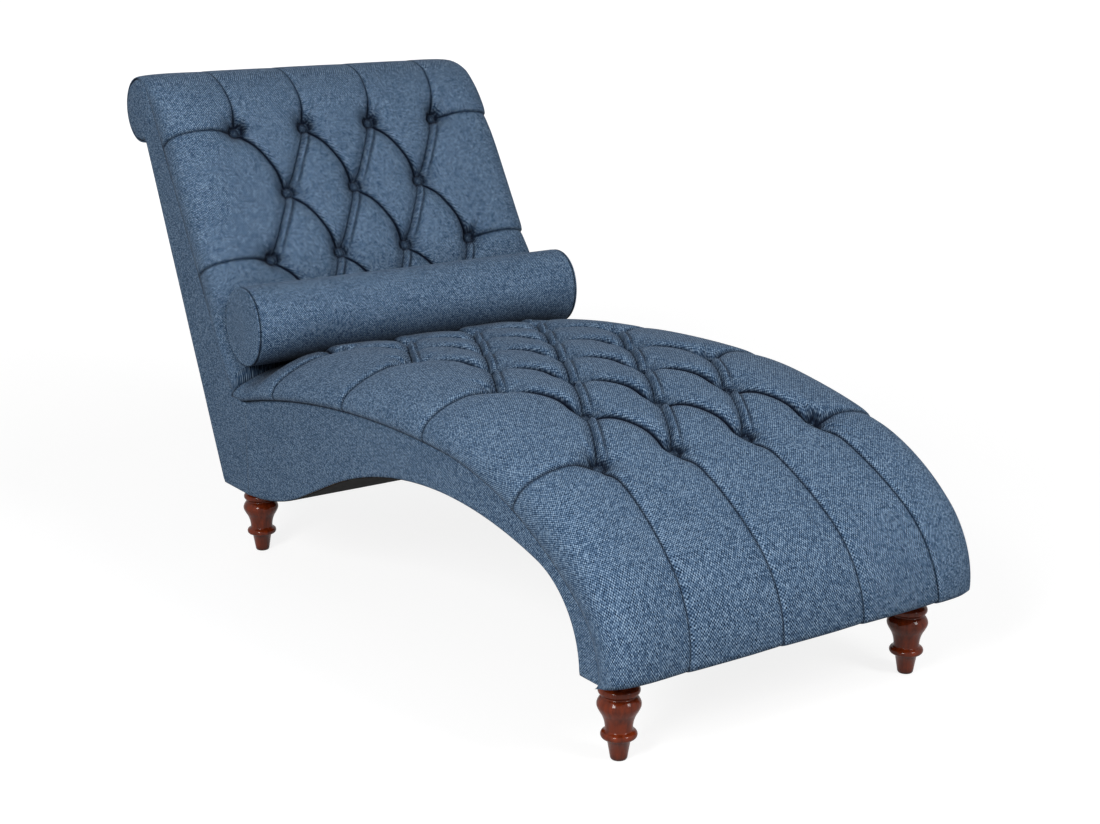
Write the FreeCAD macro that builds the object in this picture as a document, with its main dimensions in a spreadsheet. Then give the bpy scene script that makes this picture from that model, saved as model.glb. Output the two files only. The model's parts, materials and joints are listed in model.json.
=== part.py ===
# Tufted chaise longue with a rolled back, a loose bolster and four turned legs.
# Millimetres, +Z up. The foot end points along -Y, the back leans towards +Y.
import FreeCAD, Part
import math
import os
import Sketcher

V = FreeCAD.Vector
TURN_UP = math.pi / 2
doc = FreeCAD.newDocument("tufted_chaise")

# Driving dimensions. One named cell each, read by expressions and by size().
SIZES = {
    # overall body
    "pad_width": 660, "frame_width": 636, "board_thickness": 18, "cover_thickness": 2,
    "deck_thickness": 6, "soft_gap": 0.3, "dust_thickness": 1.5, "dust_inset": 1,
    # seat deck seen from the side: three arcs from the toe to the back
    "foot_reach": 715.4, "toe_radius": 130, "toe_sweep": 52, "arch_radius": 600, "arch_sweep": 35,
    "crown_radius": 2160, "crown_sweep": 17,
    # arched lower edge of the side rails
    "toe_width": 49, "knee_radius": 137, "knee_sweep": 74, "span_radius": 858, "span_sweep": 40,
    "heel_radius": 558, "heel_sweep": 21, "heel_lift": 1,
    # back frame and its scroll
    "back_lean": 31, "rear_reach": 410.6, "rear_lean": 25, "scroll_y": 694.6, "scroll_z": 753,
    "core_radius": 54, "core_wall": 5, "core_gap": 0.5, "scroll_radius": 61, "brow_radius": 158,
    # padding and tufting
    "pad_depth": 75, "toe_depth": 40, "seam_step": 3, "shoulder_width": 72, "seat_shoulder": 160,
    "flank_width": 58, "tuck_depth": 5,
    "button_pull": 25, "pleat_pull": 13, "channel_pull": 9, "slit_width": 3, "toe_fan": 0.18,
    "seat_pitch": 131, "row_pitch": 119.3, "first_row": 288, "back_pitch": 135, "back_row_pitch": 122,
    "top_row": 103, "button_radius": 10, "button_height": 6, "button_room": 2,
    # loose bolster
    "bolster_radius": 67, "bolster_length": 648, "bolster_y": 304.6, "bolster_z": 424,
    "bolster_dome": 7, "bolster_end_thickness": 2, "bolster_edge": 6, "bolster_seam_drop": 1.5,
    # legs and their fixings
    "leg_height": 127, "leg_neck": 22, "leg_inset": 53, "front_leg_set": 15.5, "rear_leg_set": 28,
    "bolt_radius": 4, "bolt_length": 60, "bolt_gap": 0.15, "bolt_end_gap": 1,
    "nut_width": 11, "nut_length": 12, "nut_gap": 0.1,
    # timber blocks, boards across the frame and the plates at its corners
    "block_height": 38, "block_width": 60, "block_inset": 4, "cross_board_width": 45,
    "first_seat_board": 330, "seat_board_pitch": 310, "first_back_board": 110, "back_board_pitch": 175,
    "plate_thickness": 3, "plate_length": 90, "plate_height": 50, "plate_top": 240,
}
sheet = doc.addObject("Spreadsheet::Sheet", "sizes")
for line, (alias, value) in enumerate(SIZES.items(), start=1):
    sheet.set("A%d" % line, alias)
    sheet.set("B%d" % line, str(value))
    sheet.setAlias("B%d" % line, alias)
doc.recompute()
worked_out = []


def size(alias):
    return float(sheet.get(alias))


def keep(alias, content):
    """Adds a worked-out size to the sheet: a number, or a formula of other sizes."""
    line = len(SIZES) + len(worked_out) + 1
    worked_out.append(alias)
    sheet.set("A%d" % line, alias)
    sheet.set("B%d" % line, str(content))
    sheet.setAlias("B%d" % line, alias)
    doc.recompute()


def rad(alias):
    return math.radians(size(alias))


# Places that follow from the frame: the arch starts behind the toe, the legs stand in from the edges.
keep("arch_reach", "=foot_reach - toe_width")
keep("leg_spread", "=frame_width - 2 * leg_inset")
keep("front_leg_y", "=-arch_reach - front_leg_set")
keep("rear_leg_y", "=rear_reach - rear_leg_set")


# Side-view routes: tangent arcs and straights in the Y-Z plane.
class Route:
    """A chain of tangent pieces. Each piece is (length, signed radius): radius 0 is straight,
    positive turns to the right (clockwise seen from +X with Y to the right)."""

    def __init__(self, start, heading, pieces):
        self.pieces = []
        point, angle = start, heading
        for length, radius in pieces:
            self.pieces.append((point, angle, length, radius))
            point, angle = self.move(point, angle, length, radius)
        self.end, self.end_heading = point, angle
        self.length = sum(piece[2] for piece in self.pieces)

    @staticmethod
    def move(point, angle, length, radius):
        if radius == 0:
            return (point[0] + length * math.cos(angle), point[1] + length * math.sin(angle)), angle
        turned = angle - length / radius
        return (point[0] + radius * (math.sin(angle) - math.sin(turned)),
                point[1] + radius * (math.cos(turned) - math.cos(angle))), turned

    def spot(self, distance):
        """Point and heading at a distance along the route, which may run past its ends."""
        for point, angle, length, radius in self.pieces[:-1]:
            if distance <= length:
                return self.move(point, angle, distance, radius)
            distance -= length
        point, angle, length, radius = self.pieces[-1]
        return self.move(point, angle, distance, radius)

    def offset(self, gap):
        """The parallel route, gap to the left of the travel direction."""
        point, angle = self.pieces[0][0], self.pieces[0][1]
        start = (point[0] - gap * math.sin(angle), point[1] + gap * math.cos(angle))
        pieces = [(length * (radius + gap) / radius if radius else length, radius + gap if radius else 0)
                  for _, _, length, radius in self.pieces]
        return Route(start, angle, pieces)


def arc(radius, sweep):
    return (abs(radius) * sweep, radius)


deck = Route((-size("foot_reach"), size("leg_height")), math.pi / 2, [
    arc(size("toe_radius"), rad("toe_sweep")),
    arc(size("arch_radius"), rad("arch_sweep")),
    arc(size("crown_radius"), rad("crown_sweep"))])
seat_end = deck.end
lean = TURN_UP - rad("back_lean")
scroll_centre = (size("scroll_y"), size("scroll_z"))


def along(point, angle, distance):
    return (point[0] + distance * math.cos(angle), point[1] + distance * math.sin(angle))


def crossing(first, first_angle, second, second_angle):
    """Distances along two lines to the point where they cross."""
    across = math.sin(second_angle - first_angle)
    step = (second[0] - first[0], second[1] - first[1])
    return ((step[0] * math.sin(second_angle) - step[1] * math.cos(second_angle)) / across,
            (step[0] * math.sin(first_angle) - step[1] * math.cos(first_angle)) / across)


# The back's front line leaves the seat line in a fillet and runs tangent into the scroll core.
scroll_start = along(scroll_centre, lean + TURN_UP, size("core_radius"))
to_corner, to_scroll = crossing(seat_end, deck.end_heading, scroll_start, lean)
corner_turn = lean - deck.end_heading
corner_radius = to_corner / math.tan(corner_turn / 2)
back_line = -to_scroll - to_corner

# The rear line of the posts meets the scroll core below its centre.
rear_foot = (size("rear_reach"), size("leg_height"))
rear_angle = TURN_UP - rad("rear_lean")
reach = (scroll_centre[0] - rear_foot[0], scroll_centre[1] - rear_foot[1])
rear_to_centre = reach[0] * math.cos(rear_angle) + reach[1] * math.sin(rear_angle)
centre_off_rear = reach[0] * math.sin(rear_angle) - reach[1] * math.cos(rear_angle)
rear_line = rear_to_centre - math.sqrt(size("core_radius") ** 2 - centre_off_rear ** 2)
rear_top = along(rear_foot, rear_angle, rear_line)
rear_top_angle = math.atan2(rear_top[1] - scroll_centre[1], rear_top[0] - scroll_centre[0])
head_sweep = lean + TURN_UP - rear_top_angle
back = Route(seat_end, deck.end_heading, [
    arc(-corner_radius, corner_turn),
    (back_line, 0),
    arc(size("core_radius"), head_sweep)])
scroll_at = corner_radius * corner_turn + back_line
keep("corner_radius", corner_radius)

# The arched lower edge: its straight length is what brings the heel down to the leg height.
heel_drop = rad("knee_sweep") + rad("span_sweep") - TURN_UP
knee = Route((-size("arch_reach"), size("leg_height")), TURN_UP, [
    arc(size("knee_radius"), rad("knee_sweep")), arc(size("span_radius"), rad("span_sweep"))])
heel_height = size("heel_radius") * (math.cos(heel_drop - rad("heel_sweep")) - math.cos(heel_drop))
straight = (knee.end[1] - heel_height - size("leg_height") - size("heel_lift")) / math.sin(heel_drop)
arch = Route((-size("arch_reach"), size("leg_height")), TURN_UP, [
    arc(size("knee_radius"), rad("knee_sweep")),
    arc(size("span_radius"), rad("span_sweep")),
    (straight, 0),
    arc(-size("heel_radius"), rad("heel_sweep"))])


# Sketch helpers. Sketches lie on the body's YZ plane: their x is Y and their y is Z.
def origin_plane(body, role):
    for feature in body.Origin.OriginFeatures:
        if feature.Role == role:
            return feature
    raise ValueError(role)


def new_body(label):
    body = doc.addObject("PartDesign::Body", label)
    body.Label = label
    return body


def new_sketch(body, name, role="YZ_Plane", lift=None):
    sketch = body.newObject("Sketcher::SketchObject", name)
    sketch.AttachmentSupport = [(origin_plane(body, role), "")]
    sketch.MapMode = "FlatFace"
    if lift:
        sketch.setExpression("AttachmentOffset.Base.z", lift)
    return sketch


def bind(sketch, kind, handles, value, expression):
    number = sketch.addConstraint(Sketcher.Constraint(kind, *handles, value))
    sketch.setExpression("Constraints[%d]" % number, expression)


def add_route(sketch, route, names):
    """Adds a chain of tangent pieces; names gives each arc's (radius, sweep) expressions."""
    handles = []
    for (point, angle, length, radius), (radius_text, sweep_text) in zip(route.pieces, names):
        finish, _ = Route.move(point, angle, length, radius)
        if radius == 0:
            index = sketch.addGeometry(Part.LineSegment(V(*point, 0), V(*finish, 0)))
            handles.append((index, 1, 2))
            continue
        middle, _ = Route.move(point, angle, length / 2, radius)
        index = sketch.addGeometry(Part.Arc(V(*point, 0), V(*middle, 0), V(*finish, 0)))
        first_is_start = radius < 0
        handles.append((index, 1, 2) if first_is_start else (index, 2, 1))
        bind(sketch, "Radius", [index], abs(radius), radius_text)
        if sweep_text:
            bind(sketch, "Angle", [index], length / abs(radius), sweep_text)
    for before, after in zip(handles, handles[1:]):
        sketch.addConstraint(Sketcher.Constraint("Tangent", before[0], before[2], after[0], after[1]))
    return (handles[0][0], handles[0][1]), (handles[-1][0], handles[-1][2])


def pin(sketch, corner, point, y_text, z_text):
    """Places a corner of a sketch at a bound distance from the origin."""
    origin = (-1, 1)
    for kind, value, text in (("DistanceX", point[0], y_text), ("DistanceY", point[1], z_text)):
        if text:
            bind(sketch, kind, [*origin, *corner], value, text)


def join(sketch, first, second):
    """A straight edge between two corners that are already there."""
    places = [sketch.getPoint(*corner) for corner in (first, second)]
    index = sketch.addGeometry(Part.LineSegment(*places))
    sketch.addConstraint(Sketcher.Constraint("Coincident", index, 1, *first))
    sketch.addConstraint(Sketcher.Constraint("Coincident", index, 2, *second))
    return index


def close_outline(sketch, corners):
    """Straight edges from corner to corner and back to the first."""
    places = [V(*corner, 0) for corner in corners]
    for first, second in zip(places, places[1:] + places[:1]):
        sketch.addGeometry(Part.LineSegment(first, second))
    for index in range(len(places)):
        sketch.addConstraint(Sketcher.Constraint("Coincident", index, 2, (index + 1) % len(places), 1))


def pad(body, sketch, thickness):
    feature = body.newObject("PartDesign::Pad", sketch.Name + "_pad")
    feature.Profile = sketch
    feature.setExpression("Length", thickness)
    sketch.Visibility = False
    return feature


# The sizes that each arc of a route reads, as (radius, sweep).
DECK_NAMES = [("sizes.toe_radius", "sizes.toe_sweep * 1 deg"),
              ("sizes.arch_radius", "sizes.arch_sweep * 1 deg"),
              ("sizes.crown_radius", "sizes.crown_sweep * 1 deg")]
ARCH_NAMES = [("sizes.knee_radius", "sizes.knee_sweep * 1 deg"),
              ("sizes.span_radius", "sizes.span_sweep * 1 deg"),
              (None, None),
              ("sizes.heel_radius", "sizes.heel_sweep * 1 deg")]


def side_rail(label, start_x, thickness):
    """A seat side cut from sheet: arched below, following the deck line above."""
    body = new_body(label)
    sketch = new_sketch(body, label + "_outline", lift=start_x)
    toe_start, deck_end = add_route(sketch, deck, DECK_NAMES)
    arch_start, arch_end = add_route(sketch, arch, ARCH_NAMES)
    join(sketch, toe_start, arch_start)
    join(sketch, deck_end, arch_end)
    pin(sketch, toe_start, deck.pieces[0][0], "-sizes.foot_reach", "sizes.leg_height")
    pin(sketch, arch_start, arch.pieces[0][0], "-sizes.arch_reach", "sizes.leg_height")
    sketch.addConstraint(Sketcher.Constraint("Horizontal", toe_start[0], 3, *toe_start))
    sketch.addConstraint(Sketcher.Constraint("Horizontal", arch_start[0], 3, *arch_start))
    pad(body, sketch, thickness)
    return body


def back_post(label, start_x, thickness):
    """A back side: foot behind the seat rail, leaning strip, round scroll head."""
    body = new_body(label)
    sketch = new_sketch(body, label + "_outline", lift=start_x)
    names = [("sizes.corner_radius", None), (None, None), ("sizes.core_radius", None)]
    seat_corner, head_end = add_route(sketch, back, names)
    foot_front = sketch.addGeometry(Part.LineSegment(V(*joint_foot, 0), V(*rear_foot, 0)))
    rear_edge = join(sketch, (foot_front, 2), head_end)
    join(sketch, seat_corner, (foot_front, 1))
    pin(sketch, (foot_front, 2), rear_foot, "sizes.rear_reach", "sizes.leg_height")
    pin(sketch, (foot_front, 1), joint_foot, None, "sizes.leg_height")
    head_arc = (head_end[0], 3)
    pin(sketch, head_arc, scroll_centre, "sizes.scroll_y", "sizes.scroll_z")
    bind(sketch, "Angle", [rear_edge], rear_angle, "90 deg - sizes.rear_lean * 1 deg")
    pad(body, sketch, thickness)
    return body


def curved_board(label, route, names, depth_text, depth, half_text):
    """A bent sheet lying below a route, symmetric about the middle."""
    body = new_body(label)
    sketch = new_sketch(body, label + "_outline", lift="-(%s)" % half_text)
    top = add_route(sketch, route, names)
    under = route.offset(-depth)
    under_names = [(radius + (" - " if piece[3] > 0 else " + ") + depth_text if radius else None, sweep)
                   for (radius, sweep), piece in zip(names, route.pieces)]
    below = add_route(sketch, under, under_names)
    join(sketch, top[0], below[0])
    join(sketch, top[1], below[1])
    pad(body, sketch, "2 * (%s)" % half_text)
    return body


def box(label, place, sides, turn=0.0):
    """A plain board: centre of its top face, (length X, width along Y, height) as expressions."""
    board = doc.addObject("Part::Box", label)
    board.Label = label
    for name, text in zip(("Length", "Width", "Height"), sides):
        board.setExpression(name, text)
    doc.recompute()
    spin = FreeCAD.Rotation(V(1, 0, 0), math.degrees(turn))
    shift = spin.multVec(V(board.Length.Value / 2, board.Width.Value / 2, board.Height.Value))
    board.Placement = FreeCAD.Placement(V(*place) - shift, spin)
    return board


def drilled_block(label, start_x, length_text, corners, holes):
    """A timber block with bolt holes from below. corners: closed Y-Z outline of straight edges."""
    body = new_body(label)
    sketch = new_sketch(body, label + "_outline", lift=start_x)
    close_outline(sketch, corners)
    pad(body, sketch, length_text)
    doc.recompute()
    before = body.Shape.Volume
    bores = new_sketch(body, label + "_bores", "XY_Plane", "sizes.leg_height")
    for hole_x, hole_y in holes:
        hole = size("nut_width") / 2 + size("nut_gap")
        circle = bores.addGeometry(Part.Circle(V(hole_x, hole_y, 0), V(0, 0, 1), hole))
        bind(bores, "Radius", [circle], hole, "sizes.nut_width / 2 + sizes.nut_gap")
    pocket = body.newObject("PartDesign::Pocket", label + "_drill")
    pocket.Profile = bores
    pocket.Type = "ThroughAll"
    pocket.Reversed = True
    bores.Visibility = False
    doc.recompute()
    if body.Shape.Volume >= before:
        raise RuntimeError(label + " was not drilled")
    return body


# Frame: side rails and posts cut from board, bent decks between them.
SIDES = (("left", -1), ("right", 1))
half_inside = "sizes.frame_width / 2 - sizes.board_thickness"
joint_slope = (seat_end[0] - arch.end[0]) / (seat_end[1] - arch.end[1])
joint_foot = (arch.end[0] - size("heel_lift") * joint_slope, size("leg_height"))
for side, sign in SIDES:
    board_start = half_inside if sign > 0 else "-sizes.frame_width / 2"
    cover_start = "sizes.frame_width / 2" if sign > 0 else "-sizes.frame_width / 2 - sizes.cover_thickness"
    side_rail("seat_rail_" + side, board_start, "sizes.board_thickness")
    side_rail("seat_side_cover_" + side, cover_start, "sizes.cover_thickness")
    back_post("back_post_" + side, board_start, "sizes.board_thickness")
    back_post("back_side_cover_" + side, cover_start, "sizes.cover_thickness")
curved_board("seat_deck", deck, DECK_NAMES, "sizes.deck_thickness", size("deck_thickness"), half_inside)
core_overlap = math.sqrt(size("core_radius") ** 2 - (size("core_radius") - size("deck_thickness")) ** 2)
back_panel = Route(seat_end, deck.end_heading, [
    arc(-corner_radius, corner_turn), (back_line - core_overlap - size("core_gap"), 0)])
curved_board("back_deck", back_panel, [("sizes.corner_radius", None), (None, None)],
             "sizes.deck_thickness", size("deck_thickness"), half_inside)
curved_board("dust_cover", arch.offset(-size("soft_gap")),
             [(radius + (" + " if piece[3] < 0 else " - ") + "sizes.soft_gap" if radius else None, sweep)
              for (radius, sweep), piece in zip(ARCH_NAMES, arch.pieces)],
             "sizes.dust_thickness", size("dust_thickness"), "sizes.frame_width / 2 - sizes.dust_inset")

# Boards across the frame, and the blocks that take the legs.
inside = 2 * (size("frame_width") / 2 - size("board_thickness"))
inside_text = "sizes.frame_width - 2 * sizes.board_thickness"


def cross_board(label, route, distance, drop):
    """A board across the frame, its top face at a drop below a route."""
    point, heading = route.spot(distance)
    box(label, (0, *along(point, heading - TURN_UP, drop)),
        (inside_text, "sizes.cross_board_width", "sizes.board_thickness"), heading)


deck_sag = size("cross_board_width") ** 2 / 8 / size("arch_radius")
for number in range(3):
    cross_board("seat_cross_board_%d" % (number + 1), deck,
                size("first_seat_board") + number * size("seat_board_pitch"),
                size("deck_thickness") + deck_sag)
    cross_board("back_cross_board_%d" % (number + 1), back,
                corner_radius * corner_turn + size("first_back_board") + number * size("back_board_pitch"),
                size("deck_thickness"))

# The scroll core is a plain tube between the post heads.
core = new_body("scroll_core")
ring = new_sketch(core, "scroll_core_outline", lift="-(%s)" % half_inside)
for radius_text, radius in (("sizes.core_radius", size("core_radius")),
                            ("sizes.core_radius - sizes.core_wall", size("core_radius") - size("core_wall"))):
    circle = ring.addGeometry(Part.Circle(V(*scroll_centre, 0), V(0, 0, 1), radius))
    bind(ring, "Radius", [circle], radius, radius_text)
    pin(ring, (circle, 3), scroll_centre, "sizes.scroll_y", "sizes.scroll_z")
pad(core, ring, inside_text)

leg_x = size("leg_spread") / 2
toe_face = -(size("foot_reach") - size("deck_thickness"))
block_top = size("leg_height") + size("block_height")
toe_curve = size("toe_radius") - size("deck_thickness")
toe_setback = toe_curve - math.sqrt(toe_curve ** 2 - size("block_height") ** 2)
drilled_block("toe_rail", "-(%s)" % half_inside, inside_text,
              [(toe_face, size("leg_height")), (-size("arch_reach"), size("leg_height")),
               (-size("arch_reach"), block_top), (toe_face + toe_setback, block_top)],
              [(-leg_x, size("front_leg_y")), (leg_x, size("front_leg_y"))])
heel_back = size("rear_reach") - size("block_inset")
for side, sign in SIDES:
    start_x = ("sizes.frame_width / 2 - sizes.board_thickness - sizes.block_width" if sign > 0
               else "-sizes.frame_width / 2 + sizes.board_thickness")
    drilled_block("heel_block_" + side, start_x, "sizes.block_width",
                  [(heel_back - size("block_width"), size("leg_height")), (heel_back, size("leg_height")),
                   (heel_back, block_top), (heel_back - size("block_width"), block_top)],
                  [(sign * leg_x, size("rear_leg_y"))])
    box("joint_plate_" + side,
        (sign * (inside / 2 - size("plate_thickness") / 2), seat_end[0], size("plate_top")),
        ("sizes.plate_thickness", "sizes.plate_length", "sizes.plate_height"))
box("heel_rail", (0, heel_back - size("board_thickness") / 2, block_top),
    (inside_text + " - 2 * sizes.block_width", "sizes.board_thickness", "sizes.block_height"))

# The outside back closes the posts from the heel to the scroll.
rear_cover = new_body("rear_cover")
strip = new_sketch(rear_cover, "rear_cover_outline", lift="-sizes.frame_width / 2")
cover_top = along(rear_foot, rear_angle, rear_line - size("soft_gap"))
cover_out = along(cover_top, rear_angle - TURN_UP, size("cover_thickness"))
cover_foot = (rear_foot[0] + size("cover_thickness") / math.sin(rear_angle), rear_foot[1])
close_outline(strip, (rear_foot, cover_foot, cover_out, cover_top))
strip.addConstraint(Sketcher.Constraint("Parallel", 1, 3))
bind(strip, "Distance", [1, 2, 3], size("cover_thickness"), "sizes.cover_thickness")
pin(strip, (0, 1), rear_foot, "sizes.rear_reach", "sizes.leg_height")
pad(rear_cover, strip, "sizes.frame_width")

# Turned legs, each revolved from one outline of (radius, height): foot, ring, vase, bulb and collar.
LEG_OUTLINE = [(0, 0), (10, 0), (14.6, 28), (24.9, 33), (24.9, 40), (17.3, 45.5), (17.3, 53),
               (27.5, 70), (30, 76), (30, 82), (24.4, 92), (28.7, 96.5), (28.7, 103.5)]


def turned_leg(label, place_x, place_y):
    body = new_body(label)
    sketch = new_sketch(body, label + "_profile", "XZ_Plane")
    top, neck, bore = size("leg_height"), size("leg_neck"), size("bolt_radius") + size("bolt_gap")
    bore_end = top - size("bolt_length") / 2 - size("bolt_end_gap")
    collar_radius, collar_top = LEG_OUTLINE[-1]
    corners = [*LEG_OUTLINE, (neck, collar_top + collar_radius - neck), (neck, top), (bore, top),
               (bore, bore_end), (0, bore_end)]
    close_outline(sketch, corners)
    pin(sketch, (len(LEG_OUTLINE) + 1, 1), (neck, top), "sizes.leg_neck", "sizes.leg_height")
    turning = body.newObject("PartDesign::Revolution", label + "_turning")
    turning.Profile = sketch
    turning.ReferenceAxis = (sketch, ["V_Axis"])
    turning.Angle = 360
    sketch.Visibility = False
    body.setExpression("Placement.Base.x", place_x)
    body.setExpression("Placement.Base.y", place_y)
    return body


def leg_nut(label):
    """A threaded insert: hexagonal outside, bored for the leg's bolt, its top face at its origin."""
    corner = size("nut_width") / 2
    turns = [step * math.pi / 3 for step in range(7)]
    spots = [V(corner * math.cos(turn), corner * math.sin(turn), -size("nut_length")) for turn in turns]
    blank = Part.Face(Part.makePolygon(spots)).extrude(V(0, 0, size("nut_length")))
    bore = Part.makeCylinder(size("bolt_radius") + size("bolt_gap"), 2 * size("nut_length"),
                             V(0, 0, -1.5 * size("nut_length")))
    nut = doc.addObject("Part::Feature", label)
    nut.Shape = blank.cut(bore)
    return nut


legs, bolts, nuts = {"front": [], "rear": []}, [], []
for end in ("front", "rear"):
    for side, sign in SIDES:
        place_x = "sizes.leg_spread / 2" if sign > 0 else "-sizes.leg_spread / 2"
        legs[end].append(turned_leg("leg_%s_%s" % (end, side), place_x, "sizes.%s_leg_y" % end))
        bolt = doc.addObject("Part::Cylinder", "bolt_%s_%s" % (end, side))
        bolt.setExpression("Radius", "sizes.bolt_radius")
        bolt.setExpression("Height", "sizes.bolt_length")
        bolt_foot = size("leg_height") - size("bolt_length") / 2
        bolt.Placement.Base = V(sign * leg_x, size(end + "_leg_y"), bolt_foot)
        bolts.append(bolt)
        nut = leg_nut("nut_%s_%s" % (end, side))
        nut.Placement.Base = V(sign * leg_x, size(end + "_leg_y"), block_top)
        nuts.append(nut)
for label, members in (("front_legs", legs["front"]), ("rear_legs", legs["rear"]),
                       ("leg_bolts", bolts), ("leg_nuts", nuts)):
    group = doc.addObject("Part::Compound", label)
    group.Label = label
    group.Links = members


# The loose bolster: a barrel with pinched, domed ends and a sewn panel on each.
def turned_about_x(label, corners):
    """Revolves an outline of (x, radius) corners about the bolster's axis."""
    body = new_body(label)
    sketch = new_sketch(body, label + "_profile", "XZ_Plane")
    close_outline(sketch, corners)
    turning = body.newObject("PartDesign::Revolution", label + "_turning")
    turning.Profile = sketch
    turning.ReferenceAxis = (sketch, ["H_Axis"])
    turning.Angle = 360
    sketch.Visibility = False
    body.setExpression("Placement.Base.y", "sizes.bolster_y")
    body.setExpression("Placement.Base.z", "sizes.bolster_z")
    return body


roll = size("bolster_radius")
half_roll = size("bolster_length") / 2
dome = size("bolster_dome")
panel = size("bolster_end_thickness")
seam = roll - size("bolster_seam_drop")
rim = half_roll - dome
barrel = rim - size("bolster_edge")
turned_about_x("bolster", [(-rim, 0), (-rim, seam), (-barrel, roll), (barrel, roll), (rim, seam), (rim, 0)])
for side, sign in SIDES:
    face = sign * (rim + size("soft_gap"))
    crown = sign * half_roll
    edge = face + sign * panel
    turned_about_x("bolster_end_" + side, [
        (face, 0), (face, seam), (edge, seam), (crown, 0.8 * seam), (crown, 0)])

# Tufted pads. Each is a loft through upright sections along its route. Every section has the same
# corners: base, sides, shoulders and nine cells, whose eight dividing points are the pleats.
# Pleats meet in pairs at the buttons and cross over half-way between two rows.
brow_radius, wrap = size("brow_radius"), size("scroll_radius")
brow_rise = size("pad_depth") + size("core_radius") - brow_radius
brow_back = math.sqrt((brow_radius - wrap) ** 2 - brow_rise ** 2)
front_angle = lean + TURN_UP
brow_centre = along(along(scroll_centre, front_angle, brow_rise), lean, -brow_back)
bolster_centre = (size("bolster_y"), size("bolster_z"))
mitre = deck.end_heading + corner_turn / 2 + TURN_UP


def ray_to_circle(point, angle, centre, radius, far):
    """Distance from a point along an angle to a circle, to its far side or its near side."""
    gap = (centre[0] - point[0], centre[1] - point[1])
    middle = gap[0] * math.cos(angle) + gap[1] * math.sin(angle)
    square = middle ** 2 - gap[0] ** 2 - gap[1] ** 2 + radius ** 2
    if square < 0 or (not far and middle < 0):
        return math.inf
    return middle + math.sqrt(square) * (1 if far else -1)


def pressed(base, angle, height):
    """The pad is pressed in where the bolster lies on it."""
    clear = size("bolster_radius") + 2 * size("soft_gap")
    return min(height, ray_to_circle(base, angle, bolster_centre, clear, far=False))


def ease(share):
    return math.sin(TURN_UP * share)


# Rows of four and of three buttons: where the pairs of pleats stand, in pitches from the middle,
# which cells are closed there, and the layout half-way to the next row.
COLUMNS = {"four": (-1.5, -0.5, 0.5, 1.5), "three": (-1, 0, 1)}
CLOSED = {"four": (0, 2, 4, 6), "three": (0, 1, 3, 5, 6)}
CROSSING = (-1.25, -1.25, -0.75, -0.25, 0.25, 0.75, 1.25, 1.25)
# The rounded side: places in from the side, in flank widths. Its lowest point stands BELLY heights up.
# Then the crown of a cell: how far across, and how much of its fullness.
FLANK = (0.14, 0.42, 1)
BELLY = 0.22
CROWN = ((0.18, 0.68), (0.5, 1.0), (0.82, 0.68))
# Sections between a button's seat and the crossing, as shares of the way.
BETWEEN = 0.45
# Where a pad's bottom edge meets the side covers.
pad_foot = size("frame_width") / 2 + size("cover_thickness") + size("seam_step")


def pleat_places(row, pitch, half_seat):
    slit = size("slit_width") / 2
    places = [column * pitch + side * half_seat for column in COLUMNS[row] for side in (-1, 1)]
    if row == "three":
        places = [places[0] - 2 * slit, *places, places[-1] + 2 * slit]
    return places


def pad_section(base, angle, height, pitch, row, share, seat, side, shoulder, fan=0.0):
    """Corners of one section, standing on base along angle. share is 0 on a row, 1 half-way to the
    next. seat is half the width of a pleat pair on the row: a button's seat, or a slit's. The crest
    falls away over the shoulder's width next to the side, as a quarter of an ellipse."""
    slit = size("slit_width") / 2

    def crest(x):
        inward = max(0.0, (abs(x) - side + shoulder) / shoulder)
        return height * (BELLY + (1 - BELLY) * math.sqrt(1 - min(1.0, inward) ** 2))

    full = min(1.0, height / size("pad_depth"))
    buttoned = seat > slit
    row_depth = size("button_pull") if buttoned else size("channel_pull")
    pull = full * (row_depth + (size("pleat_pull") - row_depth) * ease(share))
    crossing = [step * pitch for step in CROSSING]
    crossing[0] -= slit
    crossing[1] += slit
    crossing[6] -= slit
    crossing[7] += slit
    pleats = [(start + (finish - start) * share) * (1 + fan)
              for start, finish in zip(pleat_places(row, pitch, seat), crossing)]
    tuck = size("tuck_depth") * full * (1 - share) if row == "four" and buttoned else 0.0
    flank = [(side, height * BELLY)]
    flank += [(side - inward * size("flank_width"), crest(side - inward * size("flank_width")) - tuck)
              for inward in FLANK]
    edge, edge_level = flank.pop()
    stops = [(edge, edge_level), *((x, crest(x) - pull) for x in reversed(pleats)), (-edge, edge_level)]
    outline = [(-pad_foot, 0), (pad_foot, 0), *flank]
    for number, (start, finish) in enumerate(zip(stops, stops[1:])):
        cell = number - 1
        if cell in (0, 6):
            opening = 0.0
        elif cell in CLOSED[row] and buttoned:
            opening = ease(share)
        elif cell in CLOSED[row]:
            opening = 0.0
        else:
            opening = 1.0
        outline.append(start)
        for step, fullness in CROWN:
            place = start[0] + step * (finish[0] - start[0])
            straight = start[1] + step * (finish[1] - start[1])
            outline.append((place, straight + opening * fullness * (crest(place) - straight)))
    outline.append(stops[-1])
    outline += [(-x, level) for x, level in reversed(flank)]
    return [V(x, *along(base, angle, level)) for x, level in outline]


FLATNESS = 1e-7


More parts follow.
